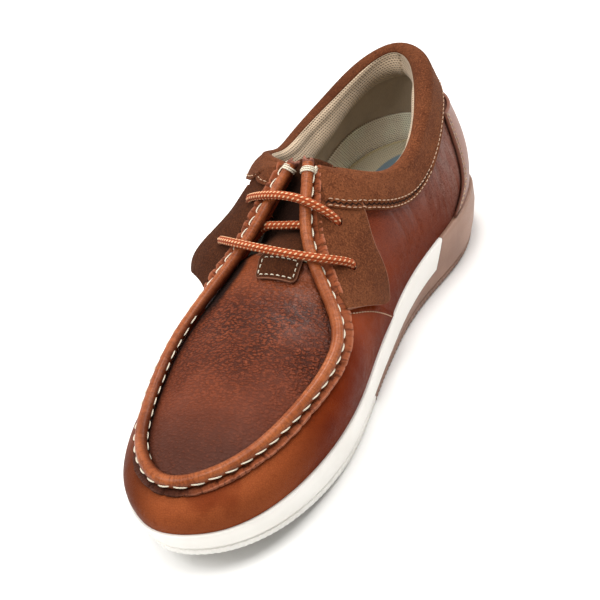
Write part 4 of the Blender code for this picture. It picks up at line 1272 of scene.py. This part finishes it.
def woven_linen():
    cloth = Finish("woven_linen", Specular_IOR_Level=0.2)
    spot = cloth.place()
    x, y = cloth.axes(spot, "XY")
    warp, weft = ((way * (2 * math.pi / YARN)).to("SINE") for way in (x, y))
    weave = warp * weft * 0.5 + 0.5
    cloud = cloth.noise(spot, 0.06, 3.0)
    colour = cloth.mix(cloud, (0.38, 0.330, 0.225), (0.47, 0.405, 0.285))
    across_it = cloth.run()[1]
    rim_mask = cloth.span(across_it, 0.30, 0.0)
    colour = cloth.mix(rim_mask * 0.7, colour, (0.46, 0.35, 0.15))
    oval = (((x - OVAL[0]) / OVAL[2]) ** 2 + ((y - OVAL[1]) / OVAL[3]) ** 2).to("SQRT")
    patch = cloth.span(oval, 1.02, 0.96)
    colour = cloth.mix(patch, colour, (0.12, 0.175, 0.21))
    between_yarns = cloth.span(weave, 0.1, 0.6, 0.5, 0.0)
    cloth.feed("Base Color", cloth.mix(between_yarns, colour, (0.16, 0.13, 0.09)))
    cloth.feed("Roughness", cloth.span(weave, 0.0, 1.0, 0.95, 0.85))
    cloth.bump(weave * (1 - patch * 0.7), 0.25)
    return cloth.material


def strips(start, count):
    """Faces that fill a closed loop of points from side to side, from the one numbered start."""
    for i in range(count // 2):
        left, right = start + i, start + count - i
        yield list(dict.fromkeys([left, left + 1, right - 1, right if i else start]))


count = 360
at = np.arange(count) * STATIONS / count
edge = feather(at) - (LEATHER + 2.2) * outward(at)
middle = (edge + edge[-np.arange(count)]) / 2
middle[:, 2] = edge[:, 2]
wide = np.linalg.norm(middle - edge, axis=1)
heelward = np.clip((120 - edge[:, 0]) / 90, 0, 1)
shares = np.concatenate([np.linspace(0, 0.3, 14), np.linspace(0.3, 1.0, 16)[1:-1]])
rows = [edge + UP * 0.8]
for share in shares:
    row = edge + (middle - edge) * share
    cradle = (1.2 + 3.4 * heelward) * np.exp(-((share * wide / 7.0) ** 1.6))
    row[:, 2] = edge[:, 2] + INSOLE_RISE - 0.4 + cradle
    rows.append(row)
points = np.array(rows)
depth_in = np.append(0.0, shares)[:, None] * (wide / 10)[None, :]
r, c = np.meshgrid(np.arange(len(rows) - 1), np.arange(count), indexing="ij")
corners = [(r, c), (r + 1, c), (r + 1, (c + 1) % count), (r, (c + 1) % count)]
faces = np.stack([i * count + j for i, j in corners], -1).reshape(-1, 4).tolist()
faces += [face[::-1] for face in strips((len(rows) - 1) * count, count)]  # its middle
faces += strips(0, count)  # and underneath
run = [(at[k % count], depth_in[k // count, k % count]) for face in faces for k in face]
insole = piece("insole_sock", points.reshape(-1, 3), faces, woven_linen(), run)
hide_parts("insole")

# ---------------------------------------------------------------------------------------------
# Facing flaps. Two loose leaves of brown suede, sewn in under the raised seam on each side of the
# throat and under the collar's front end. Their corners are cut round and their edges left raw.
# Each has two punched eyelets; the outer one stands well off the wall.
# ---------------------------------------------------------------------------------------------
EYELET_R = 2.25
Flap = namedtuple("Flap", "front_at front_up mid_at mid_up rear_at rear_up off")
FLAP_IN = [
    Flap(7.00, 0.935, 6.86, 0.820, 6.62, 0.700, 0.0),
    Flap(7.35, 0.930, 7.13, 0.760, 6.80, 0.590, 0.4),
    Flap(7.70, 0.915, 7.44, 0.680, 7.03, 0.495, 1.0),
    Flap(8.10, 0.890, 7.73, 0.600, 7.15, 0.375, 1.7),
    Flap(8.44, 0.860, 8.03, 0.520, 7.27, 0.275, 2.0),
    Flap(8.60, 0.810, 8.28, 0.455, 7.46, 0.240, 1.8),
]
FLAP_OUT = [
    Flap(22.20, 0.930, 22.36, 0.860, 22.55, 0.780, 2.4),
    Flap(21.85, 0.900, 22.06, 0.780, 22.28, 0.640, 3.8),
    Flap(21.50, 0.870, 21.76, 0.730, 22.01, 0.555, 6.0),
    Flap(21.15, 0.840, 21.46, 0.680, 21.76, 0.480, 9.0),
    Flap(20.85, 0.795, 21.19, 0.620, 21.53, 0.420, 12.2),
    Flap(20.69, 0.720, 20.98, 0.570, 21.33, 0.400, 10.5),
]
Eyelet = namedtuple("Eyelet", "at up")
EYELETS = {
    "low_in": Eyelet(7.82, 0.668),
    "top_in": Eyelet(7.31, 0.790),
    "low_out": Eyelet(21.42, 0.712),
    "top_out": Eyelet(22.02, 0.790),
}


def flap_point(flap, across, off):
    """Points off a facing flap's wall side: across goes from its front edge, 0, to its loose one, 1."""
    front, mid, rear = (1 - across) ** 2, 2 * across * (1 - across), across**2
    at = front * flap[..., 0] + mid * flap[..., 2] + rear * flap[..., 4]
    height = front * flap[..., 1] + mid * flap[..., 3] + rear * flap[..., 5]
    lift = CLEAR + flap[..., 6] * across**1.5 + off
    return wall(at, height) + wall_normal(at, height) * lift[..., None]


def eyelet(name, off):
    """A point on an eyelet's axis, off the upper's outer face."""
    at, up = EYELETS[name]
    return wall(at, up) + off * wall_normal(at, up)


def punched(pieces, name):
    """Punches one eyelet through pieces, and takes the punch away again."""
    inside, outside = (Vector(placed(eyelet(name, off))) for off in (-8.0, 16.0))
    bpy.ops.mesh.primitive_cylinder_add(vertices=40, radius=EYELET_R * MM, depth=24 * MM)
    punch = bpy.context.object
    punch.location = (inside + outside) / 2
    punch.rotation_mode = "QUATERNION"
    punch.rotation_quaternion = (outside - inside).to_track_quat("Z", "Y")
    for made in pieces:
        hole = made.modifiers.new("eyelet " + name, "BOOLEAN")
        hole.operation, hole.object, hole.solver = "DIFFERENCE", punch, "EXACT"
        settle(made)
    bpy.data.objects.remove(punch)


def settle(made):
    """Turns a piece's modifiers into its own mesh."""
    shape = bpy.data.meshes.new_from_object(made.evaluated_get(bpy.context.evaluated_depsgraph_get()))
    made.modifiers.clear()
    old, made.data = made.data, shape
    bpy.data.meshes.remove(old)


def flap(name, table, finish, waves):
    """One flap, its two loose corners rounded. waves curls its loose edge a little."""
    edge = Curve(range(len(table)), table)
    last = len(table) - 1
    along = (last * np.sin(np.linspace(0, math.pi / 2, 80)))[:, None]
    row = edge(along[:, 0])[:, None, :]
    from_end = (last - along) / 0.42
    round_end = 1 - 0.17 * (1 - np.sqrt(1 - np.clip(1 - from_end, 0, 1) ** 2))
    across = np.linspace(0, 1, 60)[None, :] * round_end
    wobble = waves[0] * np.sin(along * waves[1] + waves[2]) * across**3
    outer = flap_point(row, across, SUEDE + wobble)
    made = grid(name, outer, finish, edge_run(outer), flip=name == "flap_outer")
    thicken(made, SUEDE - 0.2)
    return made


def edge_run(points):
    """For each point of a leaf, how far it is from the leaf's loose edges, in centimetres, as the
    second number, and the distance along as the first."""
    along, across = length_along(points), length_along(points, axis=1)
    near = np.minimum(along[-1:] - along, across[:, -1:] - across)
    return together(along / 10, near / 10)


inner_suede = brown_suede("inner_flap_suede", edge=(0.07, 0.0), shade=0.88)
# The outer flap's suede is a darker copy (shade 0.40): painted shade on the far side.
outer_suede = brown_suede("outer_flap_suede", edge=(0.07, 0.0), shade=0.40, sheen=0.01)
inner_flap = flap("flap_inner", FLAP_IN, inner_suede, (0.35, 2.6, 0.4))
outer_flap = flap("flap_outer", FLAP_OUT, outer_suede, (0.7, 2.1, 1.2))
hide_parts("wing_medial")
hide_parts("wing_lateral")
for name in EYELETS:
    punched([inner_flap if name.endswith("in") else outer_flap, upper_wall], name)

# ---------------------------------------------------------------------------------------------
# Tongue. One piece of thin dark suede, painted darker still as shade and darkest as painted shadow
# deep between the beads: it lies under the throat, comes out over the apron's back edge and ends in
# a square tab, which is sewn down with a box of cream stitches.
# ---------------------------------------------------------------------------------------------
Rib = namedtuple("Rib", "x ridge sag outer inner")
TONGUE = [
    Rib(178.5, 70.0, 0.0125, -5.9, 15.0),
    Rib(172.5, 73.0, 0.0135, -6.1, 15.0),
    Rib(167.2, 75.0, 0.0145, -6.3, 14.8),
    Rib(164.0, 75.3, 0.0180, -7.6, 15.2),
    Rib(161.0, 75.2, 0.0270, -20.5, 17.5),
    Rib(157.0, 75.2, 0.0270, -25.0, 20.0),
    Rib(150.0, 75.3, 0.0265, -29.5, 22.5),
    Rib(141.0, 77.4, 0.0255, -29.5, 22.0),
    Rib(132.0, 82.2, 0.0270, -25.0, 18.5),
    Rib(124.0, 88.8, 0.0310, -19.0, 13.5),
    Rib(117.0, 96.0, 0.0320, -13.0, 12.0),
]
TONGUE_RIDGE = 1.5  # where its ridge lies across the shoe
TAB_END, TAB_CORNER = TONGUE[0].x, 3.0


def tongue_row(x):
    """The tongue's ridge height, sag, outer and inner edge at a place along the shoe."""
    rib = Curve([-row.x for row in TONGUE], [row[1:] for row in TONGUE])
    return rib(-x)


round_corner = TAB_END - TAB_CORNER * (1 - np.sin(np.linspace(0, math.pi / 2, 10)))
x = np.concatenate([np.linspace(TONGUE[-1].x, 165, 70)[:-1],
                    np.linspace(165, TAB_END - TAB_CORNER, 16)[:-1], round_corner])
ridge, sag, outer, inner = tongue_row(x).T
past = np.clip(x - TAB_END + TAB_CORNER, 0, None)
corner = TAB_CORNER - np.sqrt(np.maximum(TAB_CORNER**2 - past**2, 0))
share = np.linspace(0, 1, 44)[None, :]
y = (outer + corner)[:, None] * (1 - share) + (inner - corner)[:, None] * share
z = ridge[:, None] - sag[:, None] * (y - TONGUE_RIDGE) ** 2
loose = np.clip((164 - x) / 12, 0, 1)[:, None]
z = z + loose * (0.35 * np.sin(y / 4.1 + x[:, None] / 13) + 0.25 * np.sin(x[:, None] / 5.0))
points = together(x[:, None], y, z)
to_side = np.minimum(y - (outer + corner)[:, None], (inner - corner)[:, None] - y)
run = together(x[:, None] / 10, np.minimum(to_side, TAB_END - x[:, None]) / 10)
# Painted shade: the tongue's suede tones at 0.42, and painted shadow deep between the beads.
finish = brown_suede("tongue_suede", edge=(0.06, 0.0), shade=0.42, dim=(8.0, -4.0, -27.0, -22.0))
tongue = grid("tongue_suede", points, finish, run, flip=True)
thicken(tongue, 1.4)
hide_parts("tongue")

TAB_BOX = [(176.9, -4.3), (176.9, 13.4), (168.6, 13.2), (168.6, -4.5)]


def on_tongue(x, y):
    """A point on the tongue's face."""
    ridge, sag, _, _ = tongue_row(x)
    return np.array([x, y, ridge - sag * (y - TONGUE_RIDGE) ** 2])


lines = []
for (xa, ya), (xb, yb) in zip(TAB_BOX, TAB_BOX[1:] + TAB_BOX[:1]):
    spots = [on_tongue(xa + (xb - xa) * t, ya + (yb - ya) * t) for t in np.linspace(0, 1, 24)]
    line = np.array(spots) + 0.1 * UP
    lines += machine_row(line, np.broadcast_to(UP, line.shape), pitch=2.9, gap=1.0, start=0.3)
threads("tab_stitches", lines, 0.29, cream, sides=6)

# ---------------------------------------------------------------------------------------------
# Lace. A round braided cord of rust cotton, flecked with cream, 4 mm thick. It comes out at the
# lower inner eyelet, crosses both beads, runs under the throat, and crosses again at the top. Both
# ends stop inside, behind the upper, with no knot.
# ---------------------------------------------------------------------------------------------
LACE_R = 1.95
LACE_STEP = 0.32  # between the rows of its mesh
LIFT_OUT = 3.0  # the outer flap's stand-off at its lower eyelet


def over_bead(at):
    """Where the lace's middle rests on a bead."""
    foot, _, up = seam_frame(np.array(at))
    return foot + up * (2 * BEAD_R + BEAD_LIFT + GAP + LACE_R)


LACE_ROUTE = [
    eyelet("low_in", -7.5) + np.array([-6.0, 0.0, 3.0]),
    eyelet("low_in", -4.5),
    eyelet("low_in", 0.8),
    eyelet("low_in", 4.7) + np.array([-0.5, -1.5, 0.0]),
    over_bead(8.13),
    over_bead(21.10),
    eyelet("low_out", LIFT_OUT + 3.7) + np.array([0.5, 1.5, 0.0]),
    eyelet("low_out", LIFT_OUT + 1.5),
    eyelet("low_out", -4.2),
    np.array([148.4, -14.5, 76.0]),
    np.array([148.4, -9.5, 78.0]),
    np.array([148.3, 0.0, 78.5]),
    np.array([147.2, 8.5, 77.6]),
    np.array([145.5, 14.5, 74.3]),
    eyelet("top_in", -4.2),
    eyelet("top_in", 0.8),
    eyelet("top_in", 4.2) + np.array([-0.5, -1.5, 0.0]),
    over_bead(7.32),
    over_bead(21.86),
    eyelet("top_out", 5.2) + np.array([0.5, 1.5, 0.0]),
    eyelet("top_out", 2.8),
    eyelet("top_out", -4.0),
    eyelet("top_out", -6.5) + np.array([3.0, 2.0, -3.0]),
]
FLECK_PITCH = 2.4
STRANDS = 3


def braid():
    """Braid: a net of slanting lobes, one in two of each second row in cream."""
    cord = Finish("flecked_braid", Sheen_Weight=0.03, Specular_IOR_Level=0.12)
    along, round_it = cord.run()
    row = (round_it * (2 * STRANDS)).to("FLOOR")
    pick = along * (10 / FLECK_PITCH) + row.to("MODULO", 2.0) * 0.5
    x = (pick.to("FRACT") - 0.5) * FLECK_PITCH
    y = ((round_it * (2 * STRANDS)).to("FRACT") - 0.5) * (math.pi * LACE_R / STRANDS)
    long, wide = (x - y) * 0.70, (x + y) * 0.70
    fleck = cord.span(((long / 0.78) ** 2.0 + (wide / 0.34) ** 2.0).to("SQRT"), 1.15, 0.85)
    fibre = cord.noise(cord.place(), 2.0, 3.0, 0.6)
    rust = cord.mix(fibre, (0.29, 0.046, 0.012), (0.46, 0.096, 0.028))
    groove = cord.span(y.to("ABSOLUTE"), 0.62, 1.0)
    rust = cord.mix(groove * 0.55, rust, (0.075, 0.010, 0.003))
    cord.feed("Base Color", cord.mix(fleck, rust, (0.78, 0.53, 0.31)))
    cord.feed("Roughness", cord.span(fibre, 0.3, 0.7, 0.75, 0.9))
    cord.bump(fleck * 0.5 + fibre * 0.2 + (1 - groove) * 0.3, 0.35)
    return cord.material


knots = np.cumsum(np.append(0, np.sqrt(np.linalg.norm(np.diff(np.array(LACE_ROUTE), axis=0), axis=1))))
route = Curve(knots, LACE_ROUTE)(np.linspace(0, knots[-1], 4000))
s = length_along(route)
even = np.arange(0, s[-1], LACE_STEP)
middle = between(even, s, route)
way = unit(np.gradient(middle, axis=0))
side = np.zeros_like(middle)
side[0] = unit(UP - (UP @ way[0]) * way[0])
for k in range(1, len(middle)):
    side[k] = unit(side[k - 1] - (side[k - 1] @ way[k]) * way[k])
other = np.cross(way, side)
angle = np.linspace(0, 2 * math.pi, 32, endpoint=False)
turns = (angle / (2 * math.pi) * 2 * STRANDS)[None, :]
lobe = np.abs(np.sin(math.pi * turns)) ** 0.5
phase = even[:, None] / FLECK_PITCH + (np.floor(turns) % 2) * 0.5 + (turns % 1) * 0.35
plait = np.abs(np.cos(math.pi * phase)) ** 0.6
radius = LACE_R * (0.90 + 0.07 * lobe + 0.07 * lobe * plait)
points = middle[:, None] + radius[..., None] * (
    np.cos(angle)[None, :, None] * side[:, None] + np.sin(angle)[None, :, None] * other[:, None]
)
run = together(even[:, None] / 10, np.linspace(0, 1, len(angle) + 1)[None, :])
lace = grid("lace_cord", points, braid(), run, closed=True, caps=True)
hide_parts("lace")

# ---------------------------------------------------------------------------------------------
# Heel counter. A piece of the same leather wraps the back seam from the sole up to the collar. Its
# side edges are turned, stitched twice and pricked, and its top is hollowed, with a small notch.
# ---------------------------------------------------------------------------------------------
COUNTER_LOW, COUNTER_OFF = 0.02, 1.9
PRICK_PITCH = 2.6
# Half its width in stations, by wall height: it narrows upwards.
COUNTER_AT = Curve(
    [-0.10, 0.0, 0.06, 0.13, 0.21, 0.32, 0.46, 0.60, 0.70, 0.81],
    [[4.05], [3.92], [3.70], [3.40], [3.22], [3.12], [3.04], [2.96], [2.88], [2.78]],
)


def counter_ends(share):
    """The heights of its lower and upper edge, by how far out it is from the back seam, -1 to 1."""
    top = 0.785 - 0.13 * (1 - np.abs(share) ** 4) - 0.02 * np.exp(-((share / 0.05) ** 2))
    return COUNTER_LOW - heel_dip(DIP_HALF * share) / SPOT[1], top


def counter_leather():
    """The wall's leather, greyer in part as painted sheen, darker beside its side edges and pricked
    there in two rows.
    """
    hide = Finish("counter_leather", Coat_Roughness=0.30, Coat_Weight=0.20, Specular_IOR_Level=0.15)
    spot = hide.place()
    along, near = hide.run()
    cloud = hide.noise(spot, 0.05, 3.0)
    # Greyer, mauve tones: partly the counter's own colour, partly painted sheen.
    colour = hide.mix(hide.span(cloud, 0.35, 0.65), (0.175, 0.062, 0.036), (0.245, 0.100, 0.066))
    pricked = 1.0
    for row, shift in ((0.16, 0.0), (0.42, 0.5)):
        x = ((along * (10 / PRICK_PITCH) + shift).to("FRACT") - 0.5) * PRICK_PITCH
        y = (near - row) * 10
        pricked = hide.span((x * x + y * y).to("SQRT"), 0.35, 0.60) * pricked
    colour = hide.mix(hide.span(near, 0.34, 0.10) * 0.60, colour, (0.115, 0.030, 0.014))
    colour = hide.mix(1 - pricked, colour, (0.03, 0.010, 0.006))
    hide.feed("Base Color", hide.mix(hide.span(near, 0.05, 0.0) * 0.6, colour, (0.07, 0.025, 0.016)))
    hide.feed("Roughness", hide.span(cloud, 0.3, 0.7, 0.36, 0.46))
    hide.bump(grain(hide, spot, 0.8) * 0.3 + pricked * 0.7, 0.25)
    return hide.material


sideways = np.linspace(-1, 1, 190)[:, None]
low, top = counter_ends(sideways)
height = low + (top - low) * np.linspace(0, 1, 90)[None, :]
half = COUNTER_AT(height)[..., 0]
at = sideways * half
from_side = (half - np.abs(at)) * SPOT[0]
beside = np.minimum(from_side, (top - height) * SPOT[1])
turned = 0.35 * np.exp(-(((beside - 1.2) / 0.9) ** 2)) - 0.9 * np.exp(-((beside / 0.6) ** 2))
back_seam = 0.30 * np.exp(-((at * SPOT[0]) ** 2))
points = wall(at, height) + (COUNTER_OFF + turned - back_seam)[..., None] * wall_normal(at, height)
run = together(length_along(points, axis=1) / 10, from_side / 10)
counter = thicken(grid("heel_counter_leather", points, counter_leather(), run), 1.3)
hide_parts("heel_counter")

lines = []
for side in (-1, 1):
    for inset, start in ((0.09, 0.3), (0.20, 1.4)):
        up_it = np.linspace(COUNTER_LOW + 0.02, 0.765, 120)
        spots = side * (COUNTER_AT(up_it)[:, 0] - inset)
        way = wall_normal(spots, up_it)
        lines += machine_row(wall(spots, up_it) + (COUNTER_OFF + 0.3) * way, way, pitch=2.6, start=start)
threads("counter_stitches", lines, 0.26, tan_thread, sides=6)

# Stitches along the vamp's edge, on both sides.
VAMP_STITCH = 2.2  # how far ahead of the edge
lines = []
for edge, ahead in ((VAMP_EDGE_IN, 1), (VAMP_EDGE_OUT, -1)):
    up_it = np.linspace(0.02, 0.95, 200)
    spots = edge(up_it)[:, 0] + ahead * VAMP_STITCH / SPOT[0]
    way = wall_normal(spots, up_it)
    line = wall(spots, up_it) + (wall_relief(spots, up_it) + 0.12)[:, None] * way
    lines += machine_row(line, way, pitch=2.5, gap=0.7)
threads("vamp_stitches", lines, 0.27, tan_thread, sides=6)

# ---------------------------------------------------------------------------------------------
# Sole. A moulded wedge of off-white foam rubber under the forefoot and arch, and a heel piece of
# satin taupe rubber that runs forward under it as a thin strip. They meet in one slanted face. The
# side leans out to a lip under the upper, and is finely ribbed along its lower edge.
# ---------------------------------------------------------------------------------------------
SPRING_FROM, SPRING_TO, TOE_SPRING = 206.0, 300.0, 11.0
# Its side from the floor up: share of the way up, plus so many millimetres, how far it stands
# inside the feather line, and how much further out it swells round the heel. The last rows are the
# lip and the bed that the upper sits on.
Side = namedtuple("Side", "share plus inset swell")
SOLE_SIDE = [
    Side(0.0, 0.0, 9.0, 0.0),
    Side(0.0, 0.0, 4.2, 0.0),
    Side(0.0, 1.0, 3.0, 0.2),
    Side(0.0, 3.4, 2.6, 0.6),
    Side(0.0, 3.8, 3.1, 0.6),
    Side(0.0, 4.4, 3.1, 0.8),
    Side(0.0, 4.8, 2.3, 0.9),
    Side(0.3, 2.0, 1.3, 2.0),
    Side(0.65, 0.0, 0.2, 2.8),
    Side(1.0, -1.6, -1.2, 2.0),
    Side(1.0, -0.6, -1.3, 1.6),
    Side(1.0, -0.1, -0.8, 1.2),
    Side(1.0, -0.1, 3.0, 0.0),
]
SWELL_FROM, SWELL_FULL = 105.0, 40.0  # where along the shoe the swell sets in, and is whole
# The parting face between heel piece and midsole, from above the sole to below it, by x and z.
PARTING = [(72.5, 40.0), (77.5, 28.0), (85.0, 12.5), (110.0, 9.5), (135.0, 7.0), (160.0, 5.2),
           (174.2, 4.0), (175.2, -5.0)]
BEHIND, ABOVE, BESIDE = -20.0, 60.0, 80.0  # places clear of the sole on every side
SOLE_COLUMNS = 1400
RIB_PITCH, RIB_DEPTH = 3.2, 0.20
SIDE_ROWS = 5  # rows of mesh to each step of the side


def floor_line(x):
    """The sole's underside: flat, and sprung up at the toe."""
    past = np.maximum(0.0, x - SPRING_FROM) / (SPRING_TO - SPRING_FROM)
    return TOE_SPRING * past**1.7


def sole_rows():
    """The sole's side, as loops from the underside up to the bed that the upper stands on."""
    at = np.arange(SOLE_COLUMNS) * STATIONS / SOLE_COLUMNS
    line, out = feather(at) - heel_dip(at)[:, None] * UP, outward(at)
    ribs = np.sin(length_along(line) * 2 * math.pi / RIB_PITCH)
    heel = np.clip((SWELL_FROM - line[:, 0]) / (SWELL_FROM - SWELL_FULL), 0, 1)
    heel = heel * heel * (3 - 2 * heel)
    rows = []
    for k, (low, high) in enumerate(zip(SOLE_SIDE, SOLE_SIDE[1:])):
        for t in np.arange(SIDE_ROWS) / SIDE_ROWS:
            side = [a + (b - a) * t for a, b in zip(low, high)]
            ribbed = RIB_DEPTH * ribs * (0.4 if k == 0 else 1.0 if k < 4 else 0.0) * (side[2] < 8)
            if k == 4:
                ribbed = RIB_DEPTH * ribs * (1 - t)
            row = line + (side[3] * heel - side[2] + ribbed)[:, None] * out
            ground = floor_line(row[:, 0])
            row[:, 2] = ground + side[0] * (line[:, 2] - ground) + side[1]
            rows.append(row)
    return rows


def sole_block(name, finish):
    """The whole sole as one solid, capped across underneath and on top."""
    rows = sole_rows()
    count = SOLE_COLUMNS
    points = np.array(rows).reshape(-1, 3)
    r, c = np.meshgrid(np.arange(len(rows) - 1), np.arange(count), indexing="ij")
    d = (c + 1) % count
    sides = np.stack([r * count + c, r * count + d, (r + 1) * count + d, (r + 1) * count + c], -1)
    faces = sides.reshape(-1, 4).tolist()
    faces += [face[::-1] for face in strips(0, count)]
    faces += strips((len(rows) - 1) * count, count)
    return piece(name, points, faces, finish, None, 40)


def parting_tool(shift):
    """A block that holds all behind and below the parting face, moved forward and up by shift."""
    front = [(x + shift, z + shift) for x, z in PARTING]
    side = [(BEHIND, ABOVE), (front[0][0] - 4.5, ABOVE)] + front + [(BEHIND, PARTING[-1][1])]
    count = len(side)
    points = [(x, y, z) for y in (-BESIDE, BESIDE) for x, z in side]
    faces = [(i, i + count, (i + 1) % count + count, (i + 1) % count) for i in range(count)]
    faces += [tuple(range(count)), tuple(reversed(range(count, 2 * count)))]
    mesh = bpy.data.meshes.new("parting")
    mesh.from_pydata(placed(points).tolist(), [], faces)
    shape = bmesh.new()
    shape.from_mesh(mesh)
    bmesh.ops.recalc_face_normals(shape, faces=shape.faces)
    shape.to_mesh(mesh)
    shape.free()
    tool = bpy.data.objects.new("parting", mesh)
    bpy.context.scene.collection.objects.link(tool)
    return tool


def trimmed(made, tool, operation):
    """The piece cut by a tool, which is then taken away."""
    step = made.modifiers.new("parting", "BOOLEAN")
    step.operation, step.object, step.solver = operation, tool, "EXACT"
    settle(made)
    bpy.data.objects.remove(tool)
    return made


def rubber(name, light, dark, lip, gloss, speck):
    """Moulded rubber: satin, slightly mottled, and darker along its lower edge."""
    foam = Finish(name, Specular_IOR_Level=0.4)
    spot = foam.place()
    z = foam.axes(spot, "Z")[0]
    cloud = foam.noise(spot, 0.05, 3.0)
    pores = foam.noise(spot, 1.6, 3.0, 0.6)
    colour = foam.mix(foam.span(cloud, 0.35, 0.65), light, dark)
    colour = foam.mix(foam.span(z, 3.6, 1.6) * 0.5, colour, lip)
    foam.feed("Base Color", foam.mix(foam.span(pores, 0.60, 0.75) * speck, colour, dark))
    foam.feed("Roughness", foam.span(pores, 0.3, 0.7, gloss, gloss + 0.12))
    foam.bump(pores, 0.06)
    return foam.material


white_tones = (0.93, 0.91, 0.865), (0.89, 0.865, 0.815), (0.76, 0.72, 0.65)
taupe_tones = (0.32, 0.178, 0.122), (0.25, 0.132, 0.088), (0.18, 0.095, 0.065)
off_white = rubber("off_white_rubber", *white_tones, 0.52, 0.3)
taupe = rubber("taupe_rubber", *taupe_tones, 0.42, 0.25)
midsole = trimmed(sole_block("midsole_rubber", off_white), parting_tool(GAP), "DIFFERENCE")
outsole = trimmed(sole_block("heel_rubber", taupe), parting_tool(0.0), "INTERSECT")
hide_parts("midsole")
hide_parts("outsole")

# ---------------------------------------------------------------------------------------------
# The shoe's box, before and after dressing.
# ---------------------------------------------------------------------------------------------
boxes = {"cad": cad_box, "scene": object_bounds()}
{name: [list(corner) for corner in box] for name, box in boxes.items()}
